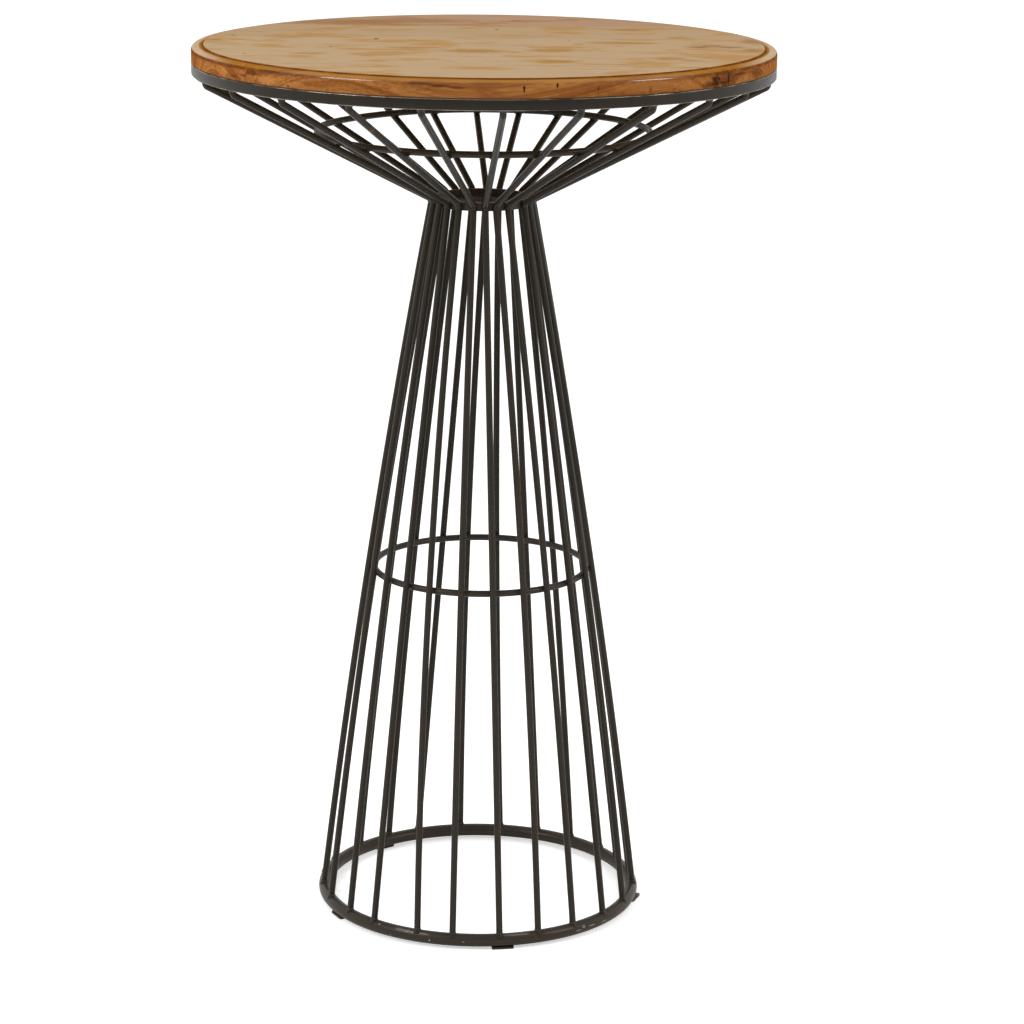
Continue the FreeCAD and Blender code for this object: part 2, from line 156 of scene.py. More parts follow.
# %% Faces of a grid
def grid(rows, columns, close_rows, close_columns):
    """Faces of a grid of points, and the (row, column) of every face corner.

    A face joins points (i, j), (i, j + 1), (i + 1, j + 1) and (i + 1, j). Where the grid closes,
    the last point joins the first, but the corner keeps the number past the end, so that a pattern
    runs on without a jump.
    """
    i, j = np.meshgrid(np.arange(rows if close_rows else rows - 1),
                       np.arange(columns if close_columns else columns - 1), indexing="ij")
    i, j = i.ravel(), j.ravel()
    corners = np.stack([np.stack([i, i, i + 1, i + 1], 1), np.stack([j, j + 1, j + 1, j], 1)], 2)
    faces = corners[:, :, 0] % rows * columns + corners[:, :, 1] % columns
    return faces.tolist(), corners.reshape(-1, 2)


print("an open grid of 3 by 4 points has", len(grid(3, 4, False, False)[0]), "faces")


# %% Swept bar
def sweep(path, normal, radius, sides=20):
    """Points, faces and bar map of a round bar along a path that lies in a plane.

    At angle a the surface is the path's point, plus the radius times (cos a along the plane's
    normal + sin a along the direction in the plane that is square to the path).
    """
    heading = np.gradient(path, axis=0)
    heading /= np.linalg.norm(heading, axis=1)[:, None]
    square = np.cross(heading, normal)
    a = np.arange(sides) * 2 * np.pi / sides
    section = np.cos(a)[:, None] * normal + np.sin(a)[:, None] * square[:, None]
    points = (path[:, None] + radius * section).reshape(-1, 3)
    faces, corners = grid(len(path), sides, False, True)
    along = np.concatenate([[0.0], np.cumsum(np.linalg.norm(np.diff(path, axis=0), axis=1))]) * MM
    bar_map = np.stack([along[corners[:, 0]], corners[:, 1] / sides], 1)
    first, last = list(range(sides)), list(range(len(points) - sides, len(points)))
    return points, faces + [first, last[::-1]], np.vstack([bar_map, np.zeros((2 * sides, 2))])


print("bar can be swept")


# %% Turned shapes
def turned(profile, steps=192):
    """Points, faces and bar map of a closed profile spun round the vertical axis.

    The profile is pairs of (radius, height). At angle a a pair becomes
    (radius times cos a, radius times sin a, height).
    """
    profile = np.asarray(profile, float)
    a = np.arange(steps) * 2 * np.pi / steps
    points = np.stack([np.outer(np.cos(a), profile[:, 0]), np.outer(np.sin(a), profile[:, 0]),
                       np.outer(np.ones(steps), profile[:, 1])], axis=-1)
    faces, corners = grid(steps, len(profile), True, True)
    girth = 2 * np.pi * profile[:, 0].max() * MM
    return points.reshape(-1, 3), faces, corners / (steps, len(profile)) * (girth, 1.0)


def arc(centre, radius, start, end, steps):
    """Points of a flat arc: the centre plus the radius times (cos a, sin a), with a in degrees."""
    a = np.radians(np.linspace(start, end, steps + 1))
    return np.asarray(centre) + radius * np.stack([np.cos(a), np.sin(a)], axis=1)


print("profiles can be turned")

# %% [markdown]
# ## The bent rods
#
# One rod is flat: it lies in a plane that holds its foot, its waist corner and its top corner.
# In that plane it is a stub, a top bend, a straight arm, a waist bend and a long leg that bows out.
#
# The leg is an arc. With chord $c$ and bow $s$ its radius is $c^2 / 8s + s / 2$.
# The waist bend is a small circle that touches the arm's line and the leg's arc.
#
# Rods could also be curves with a round bevel. Working out the points keeps the exact tangents and
# gives every rod a map of its length, which the drawn lines of the steel follow.

# %% Sizes of a rod
FOOT_RADIUS, FOOT_ANGLE = BASE_RADIUS + 2.5, 7.8
WAIST_RADIUS, WAIST_ANGLE, WAIST_HEIGHT = 61.6, 3.0, 893.5
WAIST_PLACE = np.array([-1.0, 0.0, 0.0])
TOP_INSET, TOP_ANGLE, TOP_DROP = 8.1, 3.3, 5.5
WAIST_BEND, TOP_BEND, LEG_BOW = 8.0, 5.0, 7.6


def around(radius, angle, height):
    """A point at a radius, an angle from the front towards the right, and a height."""
    turn = math.radians(angle)
    return np.array([radius * math.sin(turn), -radius * math.cos(turn), height])


def unit(vector):
    """The same direction with length one."""
    return vector / np.linalg.norm(vector)


def bend(centre, first, last, steps):
    """Points of the shorter arc round a centre between two points."""
    a = math.atan2(first[1] - centre[1], first[0] - centre[0])
    b = math.atan2(last[1] - centre[1], last[0] - centre[0])
    b += 2 * math.pi * round((a - b) / (2 * math.pi))
    return arc(centre, np.linalg.norm(first - centre), math.degrees(a), math.degrees(b), steps)


print("foot at", np.round(around(FOOT_RADIUS, FOOT_ANGLE, BASE_HEIGHT), 1))


# %% One rod's centre line
def rod_line(turn=0.0, lean=(0.0, 0.0, 0.0, 0.0)):
    """A rod's centre line from the hoop down to the floor ring, and the normal of its plane.

    turn is the rod's place round the table in degrees. lean moves its foot, waist and top sideways
    in degrees, and bows its leg sideways in millimetres: 4 t (1 - t) of that at the share t of its
    drop from the waist to the foot.
    """
    foot_point = around(FOOT_RADIUS, FOOT_ANGLE + turn + lean[0], BASE_HEIGHT)
    waist_point = around(WAIST_RADIUS, WAIST_ANGLE + turn + lean[1], WAIST_HEIGHT) + WAIST_PLACE
    top_point = around(TOP_RADIUS - TOP_INSET, TOP_ANGLE + turn + lean[2], HOOP_UNDER - TOP_DROP)
    normal = unit(np.cross(foot_point - waist_point, top_point - waist_point))
    out = unit(np.cross((0.0, 0.0, 1.0), normal))
    out = out if out.dot(top_point - waist_point) > 0 else -out
    rise = np.cross(out, normal)
    rise = rise if rise[2] > 0 else -rise
    foot, top = (np.array([(point - waist_point).dot(out), (point - waist_point).dot(rise)])
                 for point in (foot_point, top_point))

    # From here on in the plane, measured from the waist corner. The centre of the waist bend lies
    # off the arm by its own radius, and off the centre of the leg's arc by both radii.
    arm = unit(top)
    under = np.array([arm[1], -arm[0]])
    leg_radius = foot.dot(foot) / (8 * LEG_BOW) + LEG_BOW / 2
    leg_centre = foot / 2 - unit(np.array([-foot[1], foot[0]])) * (leg_radius - LEG_BOW)
    start = under * WAIST_BEND - leg_centre
    back = start.dot(arm)
    slide = -back + math.sqrt(back ** 2 - start.dot(start) + (leg_radius + WAIST_BEND) ** 2)
    waist_centre = arm * slide + under * WAIST_BEND
    waist_low = leg_centre + unit(waist_centre - leg_centre) * leg_radius

    # The top bend turns the arm upright, so that it ends flush under the hoop.
    tangent = TOP_BEND * math.tan(math.acos(arm[1]) / 2)
    top_centre = top + np.array([-TOP_BEND, tangent])
    arm_end, arm_start = arm * slide, top - arm * tangent
    line = np.vstack([
        top + (0, TOP_DROP / rise[2]),
        bend(top_centre, top + (0, tangent), arm_start, 8),
        arm_start + (arm_end - arm_start) * np.linspace(0, 1, 14)[1:-1, None],
        bend(waist_centre, arm_end, waist_low, 10),
        bend(leg_centre, waist_low, foot, 40)[1:]])
    line = waist_point + line[:, :1] * out + line[:, 1:] * rise
    share = np.clip((WAIST_HEIGHT - line[:, 2]) / (WAIST_HEIGHT - BASE_HEIGHT), 0, 1)
    sideways = around(lean[3], FOOT_ANGLE + turn + 90.0, 0.0)
    return line + np.outer(4 * share * (1 - share), sideways), normal


ROD_LINE = rod_line()[0]
print("rod length in mm:", round(float(np.linalg.norm(np.diff(ROD_LINE, axis=0), axis=1).sum()), 1))

# %% [markdown]
# All rods are alike, and the CAD parts space them evenly, fifteen degrees apart. On the real table
# a welder bent and set them by eye, so some stand or bow a few millimetres to one side.
# These small leans are what makes the cage look made by hand.

# %% The rods
# Of each rod: foot, waist and top in degrees, and the bow of its leg in millimetres.
LEANS = [
    (0, 0.25, 0.25, -0.5), (-0.75, -3, 0, 4.25), (-1.25, -3.5, 0.25, 1.25),
    (-0.75, 6, 0, -1.5), (-0.25, 1.25, -1.5, 4), (3.5, -3.25, 0, 0.25),
    (2, 7, 0, 4), (1.25, -0.75, 1, 5.25), (-1.75, 0.5, -0.25, 3.5),
    (-1, -5.75, 0.25, -2), (-1.25, -6, 0.5, 2.5), (-1.25, -7, 0.25, 5.25),
    (-0.75, -7.5, 0.25, 5.25), (1.25, -7.25, 0.75, -2.5), (-0.75, -2.75, 0.25, 2),
    (-0.75, -3.5, 0.75, 4.25), (2.5, -7, -0.5, 4.5), (0.75, -2.5, -0.5, 0.75),
    (-1.75, 4, 1, 3.5), (-2.25, 1.5, -0.5, 0), (-1.5, 1.75, -0.5, 0),
    (-3.25, 0.25, 0, 2.75), (0.25, 0.5, 0.75, -6.75), (-1.75, 2.25, 0, 0)]

rods, rod_lines = [], []
for number, lean in enumerate(LEANS, start=1):
    line, normal = rod_line(360.0 / RODS * (number - 1), lean)
    points, faces, bar_map = sweep(line, normal, ROD_RADIUS)
    rod = add_mesh("rod_%02d" % number, points, faces, bar_map)
    rods.append(finish_piece(rod, "dark_steel", "frame_rod_%02d" % number))
    rod_lines.append(line)
print("rods made:", len(rods))

# %% [markdown]
# ## Hoops and rings
#
# The thin rings lie inside the rods and touch every one. A ring's radius therefore comes from the
# rod: go in from its centre line by both radii, square to the rod.


# %% Where a ring meets the rods
def rod_at(line, height):
    """A rod's point at a height."""
    return np.array([np.interp(height, line[::-1, 2], line[::-1, k]) for k in range(3)])


def nearest(line, radius, height):
    """The point of a rod nearest to a level ring, and the rod's direction there.

    The distance to the ring is the hypotenuse of two gaps: the point's radius less the ring's,
    and the difference of their heights.
    """
    spots = np.linspace(line[:-1], line[1:], 9).transpose(1, 0, 2).reshape(-1, 3)
    gap = np.hypot(np.linalg.norm(spots[:, :2], axis=1) - radius, spots[:, 2] - height)
    best = int(np.clip(np.argmin(gap), 2, len(spots) - 3))
    return spots[best], unit(spots[best - 2] - spots[best + 2])


def ring_radius(height, bar):
    """Radius of a ring inside the rods: the rod's radius less both bars, allowing for its slope."""
    near, far = (np.linalg.norm(rod_at(ROD_LINE, height + d)[:2]) for d in (-bar, bar))
    slope = (far - near) / (2 * bar)
    across = (ROD_RADIUS + bar) * math.sqrt(1 + slope ** 2)
    return np.linalg.norm(rod_at(ROD_LINE, height)[:2]) - across


CONE_HEIGHT, MID_HEIGHT, RING_BAR = 975.5, 432.5, 4.0
CONE_RADIUS, MID_RADIUS = ring_radius(CONE_HEIGHT, RING_BAR), ring_radius(MID_HEIGHT, RING_BAR)
print("ring radii", round(CONE_RADIUS, 1), round(MID_RADIUS, 1))

# %% Rings of round bar
BELL_PLACE, BELL_WIDTH, BELL_DEPTH = math.radians(-50.0), math.radians(28.0), 1.2


def upper_ring_sag(x, y):
    """How far the upper ring hangs below its true height: a little at the back, more at back left.

    With b the angle from the back, it is half of (1 + cos b) plus a bell curve at the back left.
    """
    b = np.arctan2(x, y)
    return 0.5 * (1 + np.cos(b)) + BELL_DEPTH * np.exp(-((b - BELL_PLACE) / BELL_WIDTH) ** 2)


def bar_ring(name, radius, bar, height, node, sag=None, slope=0.0):
    """A closed ring of round bar. Where it sags it also moves in by the slope of the rods."""
    points, faces, bar_map = turned(arc((radius, height), bar, 0, 360, 24)[:-1])
    if sag:
        drop = sag(points[:, 0], points[:, 1])
        flat = points[:, :2]
        points[:, :2] = flat * (1 - slope * drop / np.linalg.norm(flat, axis=1))[:, None]
        points[:, 2] -= drop
    return finish_piece(add_mesh(name, points, faces, bar_map), "dark_steel", node)


# An arm comes in by this much for each millimetre down, and so does the ring where it sags.
ARM_SLOPE = 1.84
# The floor ring is a hair thinner and higher than its CAD part, so that it stays clear of the
# upper faces of the foot tabs.
BASE_LESS, BASE_LIFT = 0.05, 0.1
base_ring = bar_ring("floor_ring", BASE_RADIUS, BASE_BAR - BASE_LESS, BASE_HEIGHT + BASE_LIFT,
                     "base_ring")
mid_ring = bar_ring("lower_ring", MID_RADIUS, RING_BAR, MID_HEIGHT, "mid_ring")
cone_ring = bar_ring("upper_ring", CONE_RADIUS, RING_BAR, CONE_HEIGHT, "cone_ring",
                     upper_ring_sag, ARM_SLOPE)
angles = np.radians(np.arange(360))
print("upper ring sags by up to", round(upper_ring_sag(np.sin(angles), np.cos(angles)).max(), 1))


# %% Hoops of rectangular bar
def bar_hoop(name, outer, width, low, height, ease, node, place=(0.0, 0.0, 0.0)):
    """A hoop of rectangular bar with eased corners, each a quarter round."""
    inner, high = outer - width, low + height
    corners = [((outer - ease, low + ease), -90), ((outer - ease, high - ease), 0),
               ((inner + ease, high - ease), 90), ((inner + ease, low + ease), 180)]
    profile = np.vstack([arc(centre, ease, start, start + 90, 4) for centre, start in corners])
    points, faces, bar_map = turned(profile, 256)
    return finish_piece(add_mesh(name, points + place, faces, bar_map), "dark_steel", node)


HOOP_EASE, WAIST_EASE = 1.1, 0.6
top_hoop = bar_hoop("square_hoop", TOP_RADIUS, HOOP_BAR, HOOP_UNDER, HOOP_BAR, HOOP_EASE,
                    "top_hoop")
WAIST_OUTER = float(np.min(np.linalg.norm((ROD_LINE - WAIST_PLACE)[:, :2], axis=1))) - ROD_RADIUS
WAIST_LOW, WAIST_TALL, WAIST_WALL = 886.6, 10.0, 4.0
waist_hoop = bar_hoop("waist_band", WAIST_OUTER, WAIST_WALL, WAIST_LOW, WAIST_TALL, WAIST_EASE,
                      "waist_hoop", WAIST_PLACE)
print("waist hoop radius", round(WAIST_OUTER, 1))

# %% The round plate in the waist
PLATE_TALL, PLATE_EASE, PLATE_MIDDLE = 2.0, 0.3, 0.01
plate_edge, plate_top = WAIST_OUTER - WAIST_WALL, WAIST_LOW + PLATE_TALL
profile = [(PLATE_MIDDLE, WAIST_LOW), (plate_edge, WAIST_LOW), (plate_edge, plate_top - PLATE_EASE),
           (plate_edge - PLATE_EASE, plate_top), (PLATE_MIDDLE, plate_top)]
points, faces, bar_map = turned(profile, 96)
waist_plate = add_mesh("waist_disc", points + WAIST_PLACE, faces, bar_map)
finish_piece(waist_plate, "dark_steel", "waist_plate")
print("waist plate across", round(2 * plate_edge, 1))

# %% [markdown]
# ## The wooden top
#
# The top is edge-glued from five boards whose grain runs left to right. It has a ledge all round,
# and the middle stands two millimetres above it. The whole disc is spun first,
# and then each board is cut out of it between its two joints.

# %% Outline of the top
JOINTS = [-220.5, -80.5, 59.5, 199.5]
LEDGE, RAISED, STEP_RADIUS = HOOP_TOP + 20.0, HOOP_TOP + 22.0, TOP_RADIUS - 14.6
UNDER_EASE, LEDGE_EASE, STEP_EASE, FACE_EASE = 1.0, 5.0, 0.6, 1.0
FACE_MIDDLE = 0.5


def top_profile():
    """Outline of the top from its underside at the rim to the middle of its face."""
    return np.vstack([
        arc((TOP_RADIUS - UNDER_EASE, HOOP_TOP + UNDER_EASE), UNDER_EASE, -90, 0, 3),
        arc((TOP_RADIUS - LEDGE_EASE, LEDGE - LEDGE_EASE), LEDGE_EASE, 0, 90, 8),
        arc((STEP_RADIUS + STEP_EASE, LEDGE + STEP_EASE), STEP_EASE, -90, -180, 3),
        arc((STEP_RADIUS - FACE_EASE, RAISED - FACE_EASE), FACE_EASE, 0, 90, 4),
        [(STEP_RADIUS - 30.0, RAISED), (FACE_MIDDLE, RAISED), (FACE_MIDDLE, HOOP_TOP)]])


print("points of the outline:", len(top_profile()))

# %% The boards
# A sawn face looks squarely along Y and stays flat. An edge that bends by more than the sharp
# angle, in radians, stays sharp.
FLAT_COSINE, SHARP_ANGLE = 0.999, 0.7


def cut_board(name, low, high, node):
    """One board: the disc with everything outside two planes cut off and the cuts closed."""
    points, faces, _ = turned(top_profile(), 256)
    board = add_mesh(name, points, faces)
    work = bmesh.new()
    work.from_mesh(board.data)
    for place, side in ((low, -1.0), (high, 1.0)):
        if abs(place) < TOP_RADIUS:
            made = bmesh.ops.bisect_plane(
                work, geom=work.verts[:] + work.edges[:] + work.faces[:],
                plane_co=(0, place * MM, 0), plane_no=(0, side, 0), clear_outer=True)
            edges = [item for item in made["geom_cut"] if isinstance(item, bmesh.types.BMEdge)]
            bmesh.ops.contextual_create(work, geom=edges)
    bmesh.ops.recalc_face_normals(work, faces=work.faces[:])
    for face in work.faces:
        face.smooth = abs(face.normal.y) < FLAT_COSINE
    for edge in work.edges:
        edge.smooth = edge.calc_face_angle(0.0) < SHARP_ANGLE
    work.to_mesh(board.data)
    work.free()
    return finish_piece(board, "oiled_wood", node)


cuts = [-TOP_RADIUS - 1.0] + JOINTS + [TOP_RADIUS + 1.0]
boards = [cut_board("board_%d" % number, low, high, "top_board_%d" % number)
          for number, (low, high) in enumerate(zip(cuts, cuts[1:]), start=1)]
print("boards:", len(boards))

# %% [markdown]
# ## Welds
#
# The welds of this table are small and neat. Where a rod ends, a narrow collar eases it into the
# ring or the hoop. Where a rod crosses a ring, a flat bead fills the corner between them. The
# unevenness is a few sine waves with random phases.

# %% A bead of weld
random = np.random.default_rng(7)
WAVES, WAVE_SPREAD, LAST_PHASE = 3, 2.2, 6.28
BEAD_ROWS, BEAD_COLUMNS, BEAD_POLE, BEAD_BUMPS = 9, 14, 0.02, 0.14


def bumps(directions, amount):
    """A factor near one for each direction: a sum of three slow waves over the surface."""
    total = np.zeros(len(directions))
    for _ in range(WAVES):
        wave = random.normal(size=3) * WAVE_SPREAD
        total += np.sin(directions @ wave + random.uniform(0, LAST_PHASE))
    return 1 + amount * total / WAVES


def bead(centre, axes, radii):
    """An uneven ball with three radii along three directions.

    At angle v from its pole and u round it, a point is the centre plus the three directions times
    the radii times (sin v cos u, sin v sin u, cos v), times a factor for the bumps.
    """
    v = np.linspace(BEAD_POLE, np.pi - BEAD_POLE, BEAD_ROWS)
    u = np.arange(BEAD_COLUMNS) * 2 * np.pi / BEAD_COLUMNS
    v, u = (angle.ravel() for angle in np.meshgrid(v, u, indexing="ij"))
    ball = np.stack([np.sin(v) * np.cos(u), np.sin(v) * np.sin(u), np.cos(v)], axis=1)
    uneven = ball * np.asarray(radii) * bumps(ball, BEAD_BUMPS)[:, None]
    faces = grid(BEAD_ROWS, BEAD_COLUMNS, False, True)[0]
    first = list(range(BEAD_COLUMNS))[::-1]
    last = list(range(len(ball) - BEAD_COLUMNS, len(ball)))
    return centre + uneven @ np.asarray(axes), faces + [first, last]


print("a bead has", BEAD_ROWS * BEAD_COLUMNS, "points")

# %% A collar of weld
COLLAR_SIDES, COLLAR_BUMPS = 16, 0.12


def collar(place, axis, profile):
    """An uneven collar round an axis, closed inside the rod, from pairs of (distance, radius).

    At angle a a pair becomes the place, plus the distance along the axis, plus the radius times
    (cos a, sin a) square to the axis. What the radius has over the rod's is made uneven.
    """
    axis = unit(axis)
    side = unit(np.cross(axis, (0.3, 1.0, 0.2)))
    a = np.arange(COLLAR_SIDES) * 2 * np.pi / COLLAR_SIDES
    ring = np.cos(a)[:, None] * side + np.sin(a)[:, None] * np.cross(axis, side)
    rough = bumps(ring, COLLAR_BUMPS)[:, None]
    rows = [place + axis * along + ring * (ROD_RADIUS + (radius - ROD_RADIUS) * rough)
            for along, radius in profile]
    return np.concatenate(rows), grid(len(profile), COLLAR_SIDES, True, True)[0]


print("a collar has", COLLAR_SIDES, "sides")


# %% Join many shapes into one piece
def join_shapes(name, shapes, rust):
    """Several shapes as one piece. Each shape has its own amount of rust, kept as an attribute."""
    points, faces, start = [], [], 0
    for shape_points, shape_faces in shapes:
        points.append(shape_points)
        faces += [[i + start for i in face] for face in shape_faces]
        start += len(shape_points)
    thing = add_mesh(name, np.concatenate(points), faces)
    amounts = np.concatenate([np.full(len(shape), share) for shape, share in zip(points, rust)])
    spread = thing.data.attributes.new("rust", "FLOAT", "POINT")
    spread.data.foreach_set("value", amounts.astype("f"))
    return finish_piece(thing, "dark_steel")


print("shapes can be joined")

# %% The welds
FOOT_WELD = [(-3.0, 3.2), (-3.0, 5.6), (0.0, 5.0), (1.6, 4.45), (3.6, 4.03), (3.6, 3.2)]
TOP_WELD = [(0.4, 3.2), (0.4, 5.5), (-0.6, 5.2), (-1.6, 4.5), (-3.2, 4.03), (-3.2, 3.2)]
RUST = {"foot_welds": 0.1, "top_welds": 0.1, "lower_ring_welds": 0.5, "upper_ring_welds": 0.9,
        "waist_welds": 0.3}
# A foot's collar sits FOOT_SINK under the top of the floor ring and points up the leg. The band in
# the waist is flat, and its beads are placed as if it were round bar of the radius BAND_IN.
FOOT_SINK, LEG_AHEAD = 0.6, 60.0
BAND_IN, BAND_UP = 3.0, 4.0
LEAST_BEAD, LARGEST_BEAD = 0.85, 1.1
shapes = {name: [] for name in RUST}
for line in rod_lines:
    foot = rod_at(line, BASE_HEIGHT + BASE_BAR - FOOT_SINK)
    shapes["foot_welds"].append(collar(foot, rod_at(line, LEG_AHEAD) - foot, FOOT_WELD))
    shapes["top_welds"].append(collar(line[0], (0, 0, 1), TOP_WELD))
    sag = float(upper_ring_sag(*rod_at(line, CONE_HEIGHT)[:2]))
    crossings = {
        "lower_ring_welds": (MID_RADIUS, MID_HEIGHT, RING_BAR, (5.4, 1.9, 1.9)),
        "upper_ring_welds": (CONE_RADIUS - ARM_SLOPE * sag, CONE_HEIGHT - sag, RING_BAR,
                             (5.6, 2.0, 2.0)),
        "waist_welds": (WAIST_OUTER - BAND_IN, WAIST_LOW + BAND_UP, BAND_IN, (4.6, 1.6, 3.2))}
    for name, (radius, height, bar, radii) in crossings.items():
        point, along = nearest(line, radius, height)
        inward = unit(point * (1, 1, 0)) * radius + (0, 0, height) - point
        axes = (unit(np.cross(along, inward)), unit(inward), along)
        contact = point + inward * ROD_RADIUS / (ROD_RADIUS + bar)
        radii = np.array(radii) * random.uniform(LEAST_BEAD, LARGEST_BEAD)
        shapes[name].append(bead(contact, axes, radii))
# The third power of an even draw leaves most welds clean and makes a few rusty.
weld_rows = []
for name, row in shapes.items():
    weld_rows.append(join_shapes(name, row, RUST[name] * random.uniform(0.0, 1.0, RODS) ** 3))
print("weld rows:", len(weld_rows))

# %% [markdown]
# ## Materials
#
# Shaders are built from nodes. `Graph` is a thin helper that adds a node, fills its inputs and
# returns its output, so that a shader reads like a sum.


# %% Shader helper
class Graph:
    """Adds nodes to one tree. Each call takes values or sockets and gives back a socket."""

    def __init__(self, tree):
        self.tree = tree

    def put(self, socket, value):
        """Links a socket, or sets a plain value."""
        if isinstance(value, bpy.types.NodeSocket):
            self.tree.links.new(value, socket)
        elif hasattr(value, "__len__") and socket.type == "RGBA" and len(value) == 3:
            socket.default_value = (*value, 1.0)
        else:
            socket.default_value = value

    def fill(self, sockets, **values):
        """Fills sockets by name. In the name, _ stands for a space."""
        for key, value in values.items():
            self.put(sockets[key.replace("_", " ")], value)

    def node(self, kind, settings=None, **inputs):
        """A node of a kind, with properties from settings and inputs by name."""
        node = self.tree.nodes.new(kind)
        for key, value in (settings or {}).items():
            setattr(node, key, value)
        self.fill(node.inputs, **inputs)
        return node

    def in_order(self, kind, settings, values):
        """The outputs of a node whose inputs are filled in their order."""
        node = self.node(kind, settings)
        for socket, value in zip(node.inputs, values):
            self.put(socket, value)
        return node.outputs

    def maths(self, operation, *values):
        """A sum or another function of one to three numbers."""
        return self.in_order("ShaderNodeMath", {"operation": operation}, values)[0]

    def times(self, first, second):
        """Two numbers multiplied. With a mask, this is a share of it."""
        return self.maths("MULTIPLY", first, second)

    def plus(self, first, second):
        """The sum of two numbers."""
        return self.maths("ADD", first, second)

    def minus(self, first, second):
        """The first number less the second."""
        return self.maths("SUBTRACT", first, second)

    def vector(self, operation, *values):
        """A function of vectors."""
        outputs = self.in_order("ShaderNodeVectorMath", {"operation": operation}, values)
        return outputs["Value" if operation == "LENGTH" else "Vector"]

    def split(self, vector):
        """The three numbers of a vector."""
        return self.node("ShaderNodeSeparateXYZ", Vector=vector).outputs

    def join(self, x=0.0, y=0.0, z=0.0):
        """A vector from three numbers."""
        return self.node("ShaderNodeCombineXYZ", X=x, Y=y, Z=z).outputs[0]

    def mix(self, share, first, second, kind="RGBA", slots=(6, 7)):
        """Two colours mixed by a share. The node has its own sockets for each kind of value."""
        node = self.node("ShaderNodeMix", {"data_type": kind})
        for slot, value in zip((0, *slots), (share, first, second)):
            self.put(node.inputs[slot], value)
        return node.outputs[2 if kind == "RGBA" else 0]

    def between(self, share, first, second):
        """Two numbers mixed by a share."""
        return self.mix(share, first, second, "FLOAT", (2, 3))

    def noise(self, place, scale, detail=3.0, rough=0.55):
        """Cloudy noise between nought and one."""
        return self.node("ShaderNodeTexNoise", Vector=place, Scale=scale, Detail=detail,
                         Roughness=rough).outputs[0]

    def streaks(self, place, scales, detail=3.0, rough=0.55):
        """Noise with its own scale along each axis. A small scale draws it out long."""
        return self.noise(self.vector("MULTIPLY", place, scales), 1.0, detail, rough)

    def ramp(self, value, low, high, start=0.0, end=1.0):
        """A smooth step from start to end while the value goes from low to high."""
        return self.in_order("ShaderNodeMapRange", {"interpolation_type": "SMOOTHSTEP"},
                             (value, low, high, start, end))[0]

    def reach(self, value, low, high, start=0.0, end=1.0):
        """The same smooth step for a length, with low and high in millimetres."""
        return self.ramp(value, low * MM, high * MM, start, end)

    def place(self):
        """The point in the object's own coordinates, which are the table's."""
        return self.node("ShaderNodeTexCoord").outputs["Object"]


print("shader helper ready")


# %% Groups and materials
def new_group(name, inputs, outputs):
    """A node group. inputs and outputs give the kind of each socket by its name."""
    tree = bpy.data.node_groups.new(name, "ShaderNodeTree")
    for side, sockets in (("INPUT", inputs), ("OUTPUT", outputs)):
        for label, kind in sockets.items():
            tree.interface.new_socket(label, in_out=side, socket_type="NodeSocket" + kind)
    graph = Graph(tree)
    return graph, graph.node("NodeGroupInput").outputs, graph.node("NodeGroupOutput").inputs


def use_group(graph, group, **inputs):
    """The outputs of a group placed in a graph, with its inputs by name."""
    return graph.node("ShaderNodeGroup", {"node_tree": group}, **inputs).outputs


def new_material(name):
    """An empty material: itself, its graph and the sockets of its Principled shader."""
    material = bpy.data.materials.new(name)
    material.use_nodes = True
    tree = material.node_tree
    return material, Graph(tree), tree.nodes["Principled BSDF"].inputs


print("groups and materials can be made")

# %% [markdown]
# ### Shared effects
#
# Three small groups are used by several materials. Each puts out one mask.
#
# * **mark** is a ragged spot with a centre and three radii: a knot, a crack, a patch of rust, a
#   painted highlight.
# * **edge rust and highlight** is a broken line along an edge: rust on the band and plate in
#   the waist, and a painted highlight along the edges of the square hoop.
# * **drawn lines** are the fine lengthwise lines of bar that was pulled through a die. They follow
#   the bar map of each sweep. The direction round the bar is turned into a circle in the noise, so
#   there is no seam.

# %% Group: mark
graph, given, result = new_group(
    "mark", {"Centre": "Vector", "Size": "Vector", "Ragged": "Float"}, {"Mask": "Float"})
place = graph.place()
away = graph.vector("DIVIDE", graph.vector("SUBTRACT", place, given["Centre"]), given["Size"])
rough = graph.streaks(place, (90.0, 350.0, 350.0))
swing = graph.times(graph.minus(rough, 0.5), given["Ragged"])
distance = graph.plus(graph.vector("LENGTH", away), swing)
graph.put(result["Mask"], graph.ramp(distance, 1.1, 0.4))
mark_group = graph.tree
print("mark group has", len(mark_group.nodes), "nodes")

# %% Group: worn edge
# This group draws the rust along the waist pieces and the painted highlight along the square hoop.
graph, given, result = new_group(
    "edge rust and highlight", {"Distance": "Float", "Start": "Float", "End": "Float", "Breaks": "Float"},
    {"Mask": "Float"})
line = graph.ramp(given["Distance"], given["Start"], given["End"])
patchy = graph.noise(graph.place(), 32.0, 4.0)
kept = graph.ramp(graph.minus(patchy, graph.times(given["Breaks"], 0.4)), 0.15, 0.4)
graph.put(result["Mask"], graph.times(line, kept))
edge_group = graph.tree
print("edge rust and highlight group has", len(edge_group.nodes), "nodes")

# %% Group: drawn lines
graph, given, result = new_group(
    "drawn lines", {"Around": "Float", "Along": "Float"}, {"Mask": "Float"})
along, share, _ = graph.split(graph.node("ShaderNodeUVMap", {"uv_map": "bar"}).outputs[0])
turn = graph.times(share, 2 * math.pi)
wheel = graph.join(graph.times(graph.maths("COSINE", turn), given["Around"]),
                   graph.times(graph.maths("SINE", turn), given["Around"]),
                   graph.times(along, given["Along"]))
graph.put(result["Mask"], graph.ramp(graph.noise(wheel, 1.0, 4.0, 0.65), 0.3, 0.72))
lines_group = graph.tree
print("drawn lines group has", len(lines_group.nodes), "nodes")
